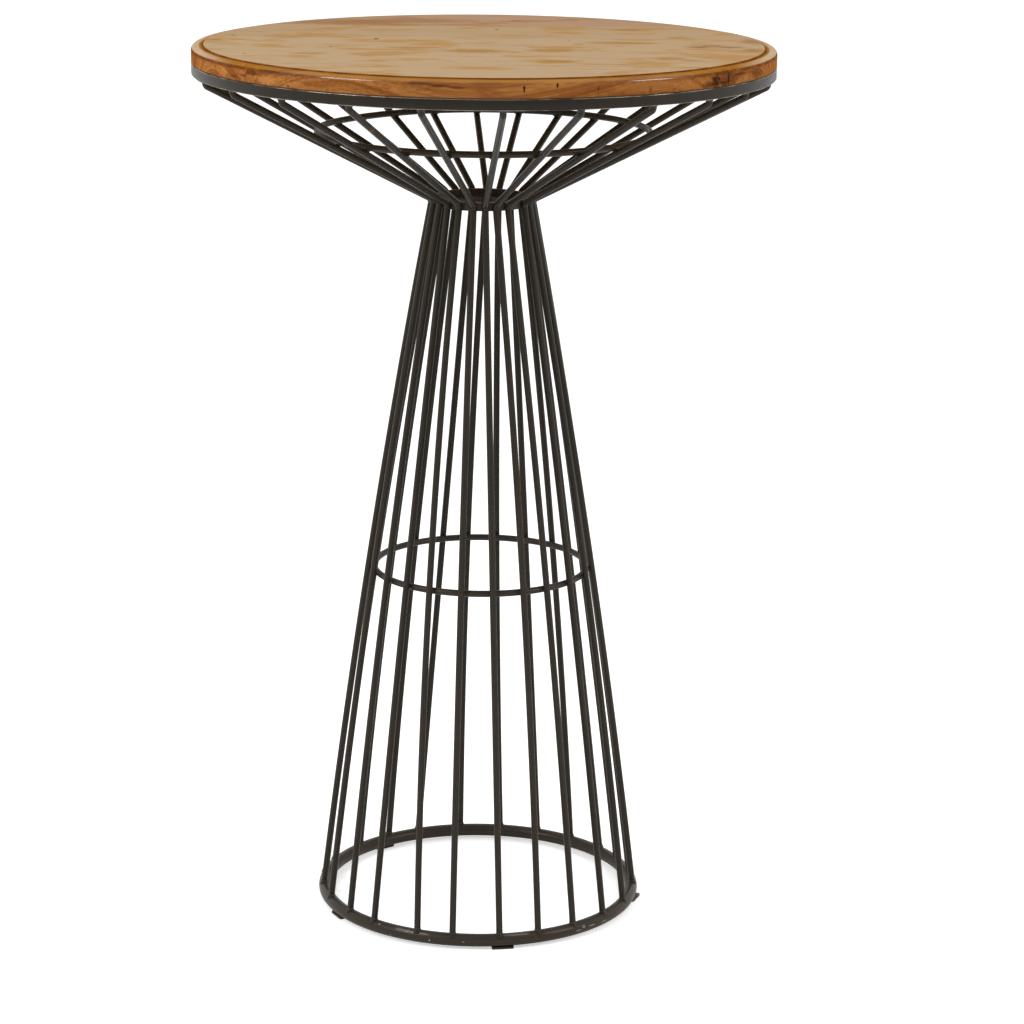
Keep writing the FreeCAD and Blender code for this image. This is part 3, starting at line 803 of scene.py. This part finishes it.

# %% [markdown]
# ### Steel
#
# The steel is dark brown-grey under a satin lacquer. It mirrors little when seen straight on and
# much at a glancing angle, so the hoop fades from nearly black at its middle to pale grey at its
# ends. A dark, nearly non-metallic base gives that by itself, through its Fresnel reflection.
# Bare metal shows only in specks, where the metallic mask is high. The thin light lines along the
# square hoop's edges are painted highlights in the same bright metal.

# %% Group: lacquered steel
# The first colour is bare metal in the specks, and also the painted highlight along the square
# hoop's edges.
BARE_STEEL_AND_HIGHLIGHT, RUST_LIGHT, RUST_DEEP = (0.4, 0.37, 0.33), (0.16, 0.07, 0.02), (0.045, 0.022, 0.01)
graph, given, result = new_group(
    "lacquered steel", {"Dark": "Color", "Brown": "Color", "Rust": "Float", "Bare": "Float"},
    {"Color": "Color", "Roughness": "Float", "Metallic": "Float", "Height": "Float"})
place = graph.place()
cloud, fine = graph.noise(place, 14.0), graph.noise(place, 170.0, 4.0)
tint = graph.mix(graph.ramp(cloud, 0.4, 0.65), given["Dark"], given["Brown"])
blotch = graph.plus(graph.noise(place, 60.0, 4.0), graph.times(given["Rust"], 0.3))
rusty = graph.times(graph.ramp(blotch, 0.6, 0.72), graph.ramp(given["Rust"], 0.0, 0.3))
tint = graph.mix(rusty, tint, graph.mix(fine, RUST_LIGHT, RUST_DEEP))
specks = graph.ramp(graph.noise(place, 330.0, 2.0), 0.72, 0.78)
bare = graph.times(graph.times(specks, graph.ramp(cloud, 0.45, 0.6)), given["Bare"])
graph.fill(result, Color=graph.mix(bare, tint, BARE_STEEL_AND_HIGHLIGHT), Metallic=bare,
           Roughness=graph.between(rusty, graph.ramp(fine, 0.2, 0.8, 0.27, 0.38), 0.75),
           Height=graph.plus(fine, graph.times(rusty, 0.8)))
steel_group = graph.tree
print("steel group has", len(steel_group.nodes), "nodes")


# %% One recipe for all steel
def use_mark(graph, centre, size, ragged=1.0):
    """The mask of a mark from its centre and radii in millimetres."""
    return use_group(graph, mark_group, Centre=tuple(MM * v for v in centre),
                     Size=tuple(MM * v for v in size), Ragged=ragged)["Mask"]


DRAWN_LINE, LACQUER_TINT = (0.07, 0.06, 0.05), (1.0, 0.86, 0.72)
DULL_MARK = 0.8


def steel_material(name, dark, brown, rust=0.0, bare=0.1, lines=0.0, bump=0.1, shine=0.3,
                   rust_map=False, marks=(), edge=None, edge_colour=BARE_STEEL_AND_HIGHLIGHT, edge_metal=1.0):
    """Lacquered steel with its own colours, drawn lines, rust, marks and an edge line.

    marks are (centre, radii, colour, metallic share), and one without metal covers by DULL_MARK.
    edge is a function that gives the mask of the edge line: rust on the waist pieces, and a
    painted highlight on the square hoop.
    """
    material, graph, shader = new_material(name)
    if rust_map:
        spread = graph.node("ShaderNodeAttribute", {"attribute_name": "rust"}).outputs["Fac"]
        rust = graph.times(spread, rust)
    out = use_group(graph, steel_group, Dark=dark, Brown=brown, Rust=rust, Bare=bare)
    colour, metal, height = out["Color"], out["Metallic"], out["Height"]
    if lines:
        drawn = use_group(graph, lines_group, Around=3.0, Along=9.0)["Mask"]
        colour = graph.mix(graph.times(drawn, lines), colour, DRAWN_LINE)
        height = graph.plus(graph.times(drawn, 0.6), height)
    for centre, radii, mark_colour, share in marks:
        mask = use_mark(graph, centre, radii)
        colour = graph.mix(graph.times(mask, share or DULL_MARK), colour, mark_colour)
        metal = graph.maths("MAXIMUM", metal, graph.times(mask, share))
    if edge:
        # On the square hoop this edge line is a painted highlight; on the waist pieces it is rust.
        edge_rust_and_highlight = edge(graph)
        colour = graph.mix(edge_rust_and_highlight, colour, edge_colour)
        metal = graph.maths("MAXIMUM", metal, graph.times(edge_rust_and_highlight, edge_metal))
    relief = graph.node("ShaderNodeBump", Height=height, Strength=bump, Distance=0.0005)
    graph.fill(shader, Base_Color=colour, Roughness=out["Roughness"], Metallic=metal,
               Normal=relief.outputs[0], Specular_IOR_Level=shine, Specular_Tint=LACQUER_TINT)
    return material


print("steel recipe ready")

# %% [markdown]
# ### Rusty edges and painted highlights
#
# Thin light lines along the edges of the square hoop are painted highlights, and rust sits along
# the band and plate in the waist, where no hand rubs it off. Each line follows a distance: the
# height on a hoop, or the radius on the plate.


# %% Rusty edges and painted highlights
def radius_of(graph):
    """Distance from the vertical axis, and height, in metres."""
    x, y, height = graph.split(graph.place())
    return graph.vector("LENGTH", graph.join(x, y)), height


def broken_line(graph, distance, start, end):
    """The mask of a broken line along an edge that begins between two distances in millimetres."""
    return use_group(graph, edge_group, Distance=distance, Start=start * MM, End=end * MM,
                     Breaks=0.5)["Mask"]


def hoop_edge_highlight(graph):
    """Painted highlight along the two outer edges of the square hoop, from 5.4 mm above and below
    its middle.
    """
    radius, height = radius_of(graph)
    from_middle = graph.maths("ABSOLUTE", graph.minus(height, (HOOP_TOP - HOOP_BAR / 2) * MM))
    outer = graph.reach(radius, TOP_RADIUS - 1.6, TOP_RADIUS - 1.0)
    return graph.times(graph.times(broken_line(graph, from_middle, 5.4, 5.9), outer), 0.75)


def waist_edge(graph):
    """Rust along the top edge of the band in the waist, at the back."""
    top = WAIST_LOW + WAIST_TALL
    line = broken_line(graph, radius_of(graph)[1], top - 1.1, top - 0.3)
    return graph.times(line, graph.reach(graph.split(graph.place())[1], -20.0, 30.0))


def plate_rim(graph):
    """Rust along the rim of the plate in the waist."""
    return broken_line(graph, radius_of(graph)[0], plate_edge - 2.6, plate_edge - 1.4)


print("edges ready")

# %% [markdown]
# ### Marks on the steel
#
# The floor ring is rubbed bright where shoes touch it, and thin bright streaks along its top at
# the front are painted highlights. Some crossings of the upper ring have a brassy film of rust
# from the heat of the weld.

# %% Marks on the steel
# The first of these colours is steel rubbed bright by shoes, and also the painted highlights along
# the top of the floor ring.
BRIGHT_WEAR_AND_HIGHLIGHT, BRASSY, OLD_RUST = (0.28, 0.255, 0.225), (0.16, 0.085, 0.02), (0.2, 0.095, 0.025)


def coloured(colour, rows):
    """Marks of one colour, from rows of a centre, three radii and a share."""
    return [(row[:3], row[3:6], colour, row[6]) for row in rows]


# The first seven marks are thin streaks along the top of the floor ring at the front: painted
# highlights. The rest are spots rubbed bright by shoes.
RING_MARKS = coloured(BRIGHT_WEAR_AND_HIGHLIGHT, [
    (-96, -175.5, 16.6, 9, 9, 1.3, 0.4), (-86, -181, 16.4, 9, 8, 1.4, 0.45),
    (-76, -185.5, 16.3, 9, 7, 1.4, 0.5), (-66, -189.5, 16.2, 9, 6, 1.2, 0.4),
    (36, -195, 17.4, 9, 5, 0.9, 0.35), (46, -194, 17.3, 9, 5, 1.1, 0.45),
    (57, -191, 17.3, 9, 5, 1.0, 0.45), (-107.5, -171.5, 7, 1.6, 1.6, 1.2, 0.9),
    (-59, -194.5, 9.2, 1.1, 2, 1.9, 1.0), (-17.5, -202, 10.9, 1.6, 3, 0.7, 0.9),
    (-121, -159.5, 16.5, 2.2, 2.2, 0.9, 0.8), (73, -183, 18.1, 3, 2, 1.2, 0.8),
    (125, -160, 10.2, 5.5, 5.5, 0.8, 0.9), (131, -155, 12.6, 3, 3, 2.2, 0.7),
    (141, -146, 11.4, 8, 8, 0.8, 0.9), (157, -129, 10.4, 6, 6, 0.7, 0.9)])
RING_MARKS += coloured(BRASSY, [
    (-158, 119, 975, 7, 7, 4, 0.0), (-189, 60, 977, 4, 9, 3, 0.0), (-197, 44, 972, 5, 7, 4, 0.0),
    (198, -1, 977, 4, 7, 3, 0.0), (192, 62, 974, 5, 7, 4, 0.0)])
ROD_MARKS = coloured(BRASSY, [
    (-127, -259, 1012, 6, 9, 4.5, 0.0), (-141, -290, 1029, 3, 5, 3, 0.0),
    (-197, 44, 968, 8, 5, 5, 0.0), (162, 56, 951, 6, 4, 4, 0.0)])
print("marks on the steel:", len(RING_MARKS) + len(ROD_MARKS))

# %% Steel materials
DARK, BROWN = (0.0235, 0.0203, 0.0165), (0.0265, 0.021, 0.0148)
# The band and plate in the waist get lighter copies of the steel's colours: painted light that
# makes up for the shade under the top.
WAIST_LIT_DARK, WAIST_LIT_BROWN = (0.062, 0.055, 0.048), (0.068, 0.057, 0.045)
rod_steel = steel_material("rod steel", DARK, BROWN, rust=0.02, lines=0.3, shine=0.15,
                           marks=ROD_MARKS)
ring_steel = steel_material("ring steel", (0.0305, 0.0262, 0.0212), (0.0335, 0.026, 0.0185),
                            rust=0.04, bare=0.8, lines=0.2, shine=0.18, marks=RING_MARKS)
# The square hoop's edge lines are painted highlights.
hoop_steel = steel_material("hoop steel", (0.015, 0.0128, 0.0098), (0.018, 0.0145, 0.0105),
                            shine=0.25, edge=hoop_edge_highlight)
waist_steel = steel_material("waist steel", WAIST_LIT_DARK, WAIST_LIT_BROWN, rust=0.1, shine=0.1,
                             edge=waist_edge, edge_colour=OLD_RUST, edge_metal=0.0)
plate_steel = steel_material("plate steel", WAIST_LIT_DARK, WAIST_LIT_BROWN, rust=0.05, shine=0.02,
                             edge=plate_rim, edge_colour=OLD_RUST, edge_metal=0.0)
weld_steel = steel_material("weld steel", DARK, BROWN, rust=1.0, bump=0.4, shine=0.25,
                            rust_map=True)
tab_steel = steel_material("tab steel", (0.024, 0.019, 0.014), (0.028, 0.02, 0.013), rust=0.3,
                           bump=0.3)
screw_steel = steel_material("screw steel", (0.3, 0.29, 0.27), (0.25, 0.22, 0.18), bare=0.3,
                             shine=0.8)
print("steel materials made")


# %% Paint the steel
def paint(thing, material):
    """Replaces a piece's materials by one."""
    thing.data.materials.clear()
    thing.data.materials.append(material)


looks = {rod_steel: rods, ring_steel: [base_ring, mid_ring, cone_ring], hoop_steel: [top_hoop],
         waist_steel: [waist_hoop], plate_steel: [waist_plate], weld_steel: weld_rows}
for material, things in looks.items():
    for thing in things:
        paint(thing, material)
for name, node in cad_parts.items():
    for start, material in (("foot_tab", tab_steel), ("fixing_lug", ring_steel),
                            ("top_screws", screw_steel)):
        if name.startswith(start):
            paint(node, material)
print("steel pieces painted")

# %% [markdown]
# ### Wood
#
# Wood could be drawn as growth rings round the tree's heart. This top is sanded smooth and waxed,
# and what shows is softer: long fine streaks, drifting bands and golden patches. So the grain is
# noise stretched along X, at three widths, bent by a slow sway. Faint growth rings are laid over
# it, round a heart below each board: on the rim they give the figure of end grain.
#
# The raised face is pale and dry, the ledge is golden, and the rim is stained reddish brown.

# %% Group: long grain
HEART_HEIGHT = HOOP_TOP - 23.0
graph, given, result = new_group(
    "long grain", {"Shift": "Float", "Heart": "Float"},
    dict.fromkeys(("Streak", "Band", "Patch", "Line", "Ring", "Height"), "Float"))
moved = graph.vector("ADD", graph.place(), graph.join(given["Shift"]))
sway = graph.times(graph.streaks(moved, (5.0, 9.0, 9.0), 2.0), 0.03)
moved = graph.vector("ADD", moved, graph.join(0.0, sway, sway))
streak = graph.streaks(moved, (9.0, 420.0, 420.0), 5.0, 0.6)
cloud = graph.streaks(moved, (12.0, 24.0, 24.0), 4.0)
patch = graph.plus(cloud, graph.times(graph.minus(streak, 0.5), 0.3))
# A thin line runs where one noise crosses its middle, and another noise leaves some of it.
ridge = graph.maths("ABSOLUTE", graph.minus(graph.streaks(moved, (3.0, 48.0, 48.0), 2.0), 0.5))
some = graph.ramp(graph.streaks(moved, (11.0, 40.0, 40.0), 2.0), 0.52, 0.66)
# Growth rings follow the distance from the tree's heart.
along, across, height = graph.split(moved)
heart = graph.join(0.0, graph.minus(across, given["Heart"]), graph.minus(height, HEART_HEIGHT * MM))
rings = graph.join(graph.times(graph.vector("LENGTH", heart), 230.0), graph.times(along, 3.5))
graph.fill(result, Streak=graph.ramp(streak, 0.3, 0.7), Patch=graph.ramp(patch, 0.5, 0.64),
           Band=graph.ramp(graph.streaks(moved, (4.0, 75.0, 75.0)), 0.32, 0.68),
           Line=graph.times(graph.ramp(ridge, 0.022, 0.0), some),
           Ring=graph.ramp(graph.noise(rings, 1.0, 3.0, 0.6), 0.36, 0.66), Height=streak)
grain_group = graph.tree
print("long grain group has", len(grain_group.nodes), "nodes")

# %% [markdown]
# ### The finish of a board
#
# One group holds the whole finish, because face, ledge and rim are one piece of wood. Each place
# gets its colour from its radius and height, so the borders lie exactly on the step and the edge.
# The next cells fill this group: the face, the ledge, the rim, and then how they join.


# %% Board finish: what it is given
def layered(graph, grain, colour, layers):
    """Colours laid over one another, each by its share of one mask of the grain."""
    for mask, share, over in layers:
        colour = graph.mix(graph.times(grain[mask], share), colour, over)
    return colour


graph, given, result = new_group(
    "board finish",
    {"Pale": "Color", "Tan": "Color", "Gold": "Color", "Shift": "Float", "Heart": "Float",
     "Low joint": "Float", "Low dark": "Float", "High joint": "Float", "High dark": "Float"},
    {"Color": "Color", "Roughness": "Float", "Coat": "Float", "Height": "Float"})
grain = use_group(graph, grain_group, Shift=given["Shift"], Heart=given["Heart"])
radius, height = radius_of(graph)
lengthwise, across, _ = graph.split(graph.place())
side = graph.maths("ABSOLUTE", lengthwise)
print("masks of the grain:", ", ".join(grain.keys()))

# %% Board finish: the pale face and its glued joints
CRACK_RED, JOINT_RED = (0.26, 0.12, 0.05), (0.2, 0.085, 0.04)
face = layered(graph, grain, given["Pale"], [
    ("Streak", 0.5, given["Tan"]), ("Band", 0.3, given["Tan"]), ("Ring", 0.25, given["Tan"]),
    ("Patch", 0.8, given["Gold"]), ("Line", 0.5, CRACK_RED)])
for name in ("Low", "High"):
    gap = graph.maths("ABSOLUTE", graph.minus(across, given[name + " joint"]))
    gap = graph.times(graph.reach(gap, 1.4, 0.4), given[name + " dark"])
    gap = graph.times(gap, graph.ramp(grain["Band"], 0.15, 0.75, 0.25, 1.0))
    face = graph.mix(gap, face, JOINT_RED)
print("face has", len(graph.tree.nodes), "nodes")

# %% Board finish: the golden ledge
MUSTARD, MUSTARD_DARK = (0.345, 0.147, 0.018), (0.25, 0.092, 0.011)
PALE_LEDGE_END, PALE_LEDGE_END_DARK = (0.54, 0.4, 0.26), (0.44, 0.3, 0.19)
stain = graph.plus(graph.times(grain["Ring"], 0.5), graph.times(grain["Patch"], 0.5))
# The ledge is paler along its outer edge at the two ends. At the back it is like the face.
ends = graph.times(graph.reach(radius, TOP_RADIUS - 11.0, TOP_RADIUS - 8.0),
                   graph.reach(side, 280.0, 335.0))
ledge = graph.mix(ends, graph.mix(stain, MUSTARD, MUSTARD_DARK),
                  graph.mix(grain["Streak"], PALE_LEDGE_END, PALE_LEDGE_END_DARK))
ledge = graph.mix(graph.reach(across, 120.0, -20.0, 0.1, 1.0), face, ledge)
print("with the ledge", len(graph.tree.nodes), "nodes")

# %% Board finish: the stained rim
CHESTNUT, CHESTNUT_DARK, BROW = (0.4, 0.165, 0.042), (0.22, 0.07, 0.016), (0.14, 0.038, 0.01)
rim = layered(graph, grain, graph.mix(grain["Ring"], CHESTNUT, CHESTNUT_DARK), [
    ("Patch", 0.5, (0.2, 0.06, 0.015)), ("Streak", 0.5, (0.16, 0.048, 0.013)),
    ("Line", 0.4, (0.09, 0.028, 0.008))])
# A dark brow runs along the top of the rim, towards its two ends.
brow = graph.times(graph.reach(height, LEDGE - 7.5, LEDGE - 4.0), graph.reach(side, 120.0, 260.0))
rim = graph.mix(graph.times(brow, graph.ramp(grain["Band"], 0.0, 0.7, 0.5, 0.95)), rim, BROW)
print("with the rim", len(graph.tree.nodes), "nodes")

# %% Board finish: where face, ledge, rim and underside meet
STEP_SHADE, RAW_WOOD, UNDER_SHADE = (0.14, 0.042, 0.012), (0.42, 0.28, 0.15), (0.06, 0.03, 0.015)
on_ledge = graph.reach(radius, STEP_RADIUS - 0.7, STEP_RADIUS + 0.1)
on_rim = graph.reach(height, LEDGE - 1.2, LEDGE - 3.0)
step = graph.times(on_ledge, graph.reach(radius, STEP_RADIUS + 2.8, STEP_RADIUS + 0.8))
step = graph.times(step, graph.ramp(grain["Band"], 0.0, 0.8, 0.55, 0.95))
low = graph.reach(height, HOOP_TOP + 1.6, HOOP_TOP + 0.9)
raw = graph.times(low, graph.reach(radius, TOP_RADIUS - 4.0, TOP_RADIUS - 6.0))
shade = graph.times(low, graph.reach(radius, TOP_RADIUS - 3.5, TOP_RADIUS - 2.5))
colour = graph.mix(step, graph.mix(on_ledge, face, ledge), STEP_SHADE)
colour = graph.mix(raw, graph.mix(on_rim, colour, rim), RAW_WOOD)
colour = graph.mix(graph.times(shade, 0.8), colour, UNDER_SHADE)
print("with the borders", len(graph.tree.nodes), "nodes")

# %% Board finish: wax and pores
dull = graph.between(on_ledge, 0.62, 0.48)
# Wax shines only on the bent outer edge of the ledge, and most of all at the front.
bent = graph.reach(height, LEDGE + 0.2, LEDGE - 1.0)
upright = graph.reach(height, LEDGE - 3.5, LEDGE - 6.0)
coat = graph.between(upright, graph.reach(side, 265.0, 200.0, 0.02, 0.6), 0.02)
graph.fill(result, Color=colour, Roughness=graph.plus(dull, graph.times(grain["Streak"], 0.1)),
           Coat=graph.between(graph.times(bent, on_ledge), 0.0, coat),
           Height=graph.minus(grain["Height"], graph.times(grain["Line"], 0.4)))
finish_group = graph.tree
print("board finish group has", len(finish_group.nodes), "nodes")

# %% [markdown]
# ### Knots, cracks and patches
#
# Every real board has its own marks. These are listed one by one, each as a centre, three radii and
# a strength, all in millimetres. A board takes the marks that reach between its joints.

# %% Marks of the face
GOLD, KNOT, RED = (0.345, 0.18, 0.045), (0.09, 0.04, 0.02), (0.24, 0.09, 0.035)
BROWNED, MARK_DEPTH = (0.3, 0.16, 0.07), 3.0
# Each row: x, y, the two radii, the colour and the strength.
FACE_ROWS = [
    (-10, -80, 46, 24, GOLD, 0.85), (-84, -50, 46, 14, GOLD, 0.7), (80, -68, 34, 22, GOLD, 0.8),
    (82, -178, 28, 18, GOLD, 0.8), (-205, -118, 26, 11, GOLD, 0.7), (180, 163, 34, 15, GOLD, 0.8),
    (236, 77, 18, 11, GOLD, 0.7), (214, -138, 26, 18, GOLD, 0.7), (163, 18, 54, 18, GOLD, 0.7),
    (-108, 197, 40, 14, GOLD, 0.8), (-85, 252, 90, 34, BROWNED, 0.7),
    (-175, 228, 95, 42, BROWNED, 0.75), (-30, 205, 60, 14, BROWNED, 0.5), (40, 263, 9, 6, RED, 0.5),
    (275, -14, 46, 22, BROWNED, 0.4), (326, 42, 20, 34, BROWNED, 0.7),
    (318, -50, 16, 20, BROWNED, 0.65), (-131, 41, 4, 8, KNOT, 0.7),
    (-182, -47, 2.4, 4.5, KNOT, 0.75), (15, 156, 3, 6, KNOT, 0.6), (102, 34, 2.5, 4, RED, 0.8),
    (112, -2, 9, 9, RED, 0.4),
    (253, -20, 14, 4.5, KNOT, 0.85), (272, -6, 18, 4.5, KNOT, 0.95), (294, -22, 16, 4.5, KNOT, 0.7),
    (161, -205, 14, 3, KNOT, 0.55), (-324, 16, 14, 3.5, RED, 0.8), (-298, 17, 12, 2.5, RED, 0.5),
    (-306, 66, 3.5, 5, RED, 0.7), (-278, -126, 2.4, 4, KNOT, 0.7), (-249, 49, 26, 4, RED, 0.35),
    (-42, -183, 15, 4, RED, 0.4)]
FACE_MARKS = [((x, y, RAISED), (along, across, MARK_DEPTH), colour, strength)
              for x, y, along, across, colour, strength in FACE_ROWS]
print("marks of the face:", len(FACE_MARKS))

# %% Marks of the rim
PALE_ORANGE, UMBER, SOOT = (0.5, 0.22, 0.065), (0.09, 0.027, 0.008), (0.022, 0.009, 0.005)
RIM_MARKS = coloured(PALE_ORANGE, [
    (-246, -249, 1065, 22, 20, 6, 0.55), (-212, -279, 1063, 22, 18, 4, 0.4),
    (-298, -184, 1066, 8, 10, 5, 0.4), (225, -266, 1065, 24, 20, 6, 0.3),
    (185, -296, 1068, 70, 40, 9, 0.3)])
RIM_MARKS += coloured(UMBER, [
    (276, -214, 1067, 26, 28, 11, 0.75), (314, -154, 1066, 18, 28, 8, 0.6),
    (-72, -342, 1074, 22, 6, 2.2, 0.8), (-50, -346, 1072, 18, 6, 2.0, 0.85),
    (-30, -348, 1070.4, 16, 6, 1.6, 0.8), (0, -350, 1075, 40, 6, 2.0, 0.4),
    (-262, -232, 1070.5, 15, 15, 3.4, 0.85), (-285, -203, 1063, 9, 11, 2.5, 0.6),
    (-240, -255, 1075, 16, 16, 1.8, 0.8), (-273, -219, 1066, 8, 8, 1.6, 0.7),
    (-205, -283, 1074.5, 40, 26, 1.7, 0.55)])
RIM_MARKS += coloured(SOOT, [
    (-219, -273, 1061.2, 1.6, 1.6, 1.5, 0.9), (44, -347, 1069.5, 1.5, 5, 4.2, 1.0),
    (80.5, -341, 1073, 1.5, 5, 3.4, 1.0), (126, -327, 1068, 1.0, 5, 5, 0.6),
    (185, -297, 1063, 2, 5, 5, 0.45), (262, -232, 1067, 8, 9, 9, 0.85),
    (277.5, -213, 1067, 1.6, 3, 9, 0.95), (292, -192, 1069.8, 12, 16, 1.8, 0.6),
    (254, -240, 1062.5, 14, 15, 4.5, 0.7), (270, -222, 1062, 15, 15, 3, 0.55),
    (220, -241, 1078, 3.5, 4, 2, 0.8)])
MARKS = FACE_MARKS + RIM_MARKS
print("marks of the rim:", len(RIM_MARKS))


# %% Wood materials
def wood_material(name, low, high, pale, tan, gold, shift, low_dark, high_dark):
    """One board's wood, from its two joints, its colours and how dark its joint lines are."""
    material, graph, shader = new_material(name)
    out = use_group(graph, finish_group, Pale=pale, Tan=tan, Gold=gold, Shift=shift,
                    Heart=(low + high) / 2 * MM, Low_joint=low * MM, Low_dark=low_dark,
                    High_joint=high * MM, High_dark=high_dark)
    colour = out["Color"]
    for centre, radii, mark_colour, share in MARKS:
        if low - radii[1] < centre[1] < high + radii[1]:
            mask = use_mark(graph, centre, radii, 1.6)
            colour = graph.mix(graph.times(mask, share), colour, mark_colour)
    relief = graph.node("ShaderNodeBump", Height=out["Height"], Strength=0.2, Distance=0.0003)
    graph.fill(shader, Base_Color=colour, Roughness=out["Roughness"], Coat_Weight=out["Coat"],
               Normal=relief.outputs[0], Specular_IOR_Level=0.0, Coat_Roughness=0.12)
    return material


# Of each board: its pale, tan and gold colours, its shift along the grain, and its two joints.
PALE, TAN, HONEY = (0.475, 0.335, 0.2), (0.395, 0.27, 0.155), (0.4, 0.22, 0.075)
board_looks = [
    (PALE, TAN, HONEY, 0.3, 0.0, 0.75),
    (PALE, TAN, HONEY, 1.9, 0.75, 0.15),
    (PALE, TAN, HONEY, 3.1, 0.15, 0.15),
    ((0.455, 0.315, 0.185), (0.375, 0.25, 0.14), HONEY, 4.7, 0.15, 0.5),
    # The back board is a browner wood, and its colours are also greyer and pinker: a painted sheen,
    # the bright sky mirrored at a glancing angle.
    ((0.43, 0.285, 0.185), (0.36, 0.21, 0.12), (0.33, 0.18, 0.08), 6.2, 0.5, 0.0),
]
for number, (board, look) in enumerate(zip(boards, board_looks)):
    wood = wood_material("wood %d" % (number + 1), cuts[number], cuts[number + 1], *look)
    paint(board, wood)
print("wood materials:", len(board_looks))

# %% [markdown]
# ## Light and floor
#
# The object is lit by a bright sky dome that is dim on the camera's side, so that the front of the
# steel has something dark to mirror, and by two soft lamps. The floor is nearly white. For rays
# from the camera and for mirrored rays it also glows a little, which makes the background white
# without more light on the table, and a soft shadow stays under it.

# %% Floor
FLOOR_HALF, CAMERA_GLOW, MIRROR_GLOW = 30000.0, 0.42, 0.12
corners = np.array([(-1, -1, 0), (1, -1, 0), (1, 1, 0), (-1, 1, 0)]) * FLOOR_HALF
floor = add_mesh("floor", corners, [(0, 1, 2, 3)], smooth=False)
floor_material, graph, shader = new_material("floor")
rays = graph.node("ShaderNodeLightPath").outputs
glow = graph.maths("MULTIPLY_ADD", rays["Is Camera Ray"], CAMERA_GLOW,
                   graph.times(rays["Is Glossy Ray"], MIRROR_GLOW))
graph.fill(shader, Base_Color=(0.9, 0.9, 0.9), Roughness=0.9, Specular_IOR_Level=0.0,
           Emission_Color=(1.0, 1.0, 1.0), Emission_Strength=glow)
paint(floor, floor_material)
print("floor made")

# %% Sky dome
world = bpy.data.worlds.new("studio")
world.use_nodes = True
bpy.context.scene.world = world
graph = Graph(world.node_tree)
_, towards, _ = graph.split(graph.node("ShaderNodeTexCoord").outputs["Generated"])
graph.fill(world.node_tree.nodes["Background"].inputs, Color=(1.0, 1.0, 1.0),
           Strength=graph.ramp(towards, -0.85, 0.0, 0.3, 1.0))
print("sky made")


# %% Lamps
LAMP_AIM = Vector((0, 0, 0.9))


def soft_lamp(name, place, size, power):
    """A square area lamp that faces a point near the top of the table."""
    data = bpy.data.lights.new(name, "AREA")
    data.shape = "SQUARE"
    data.size = size
    data.energy = power
    lamp = bpy.data.objects.new(name, data)
    bpy.context.scene.collection.objects.link(lamp)
    lamp.location = place
    lamp.rotation_euler = (LAMP_AIM - Vector(place)).to_track_quat("-Z", "Y").to_euler()
    return lamp


lamps = [soft_lamp("left lamp", (-2.6, -1.8, 2.6), 1.2, 60.0),
         soft_lamp("right lamp", (2.8, -1.2, 2.2), 0.9, 38.0)]
bpy.context.scene.view_settings.view_transform = "Standard"
print("lamps:", len(lamps))
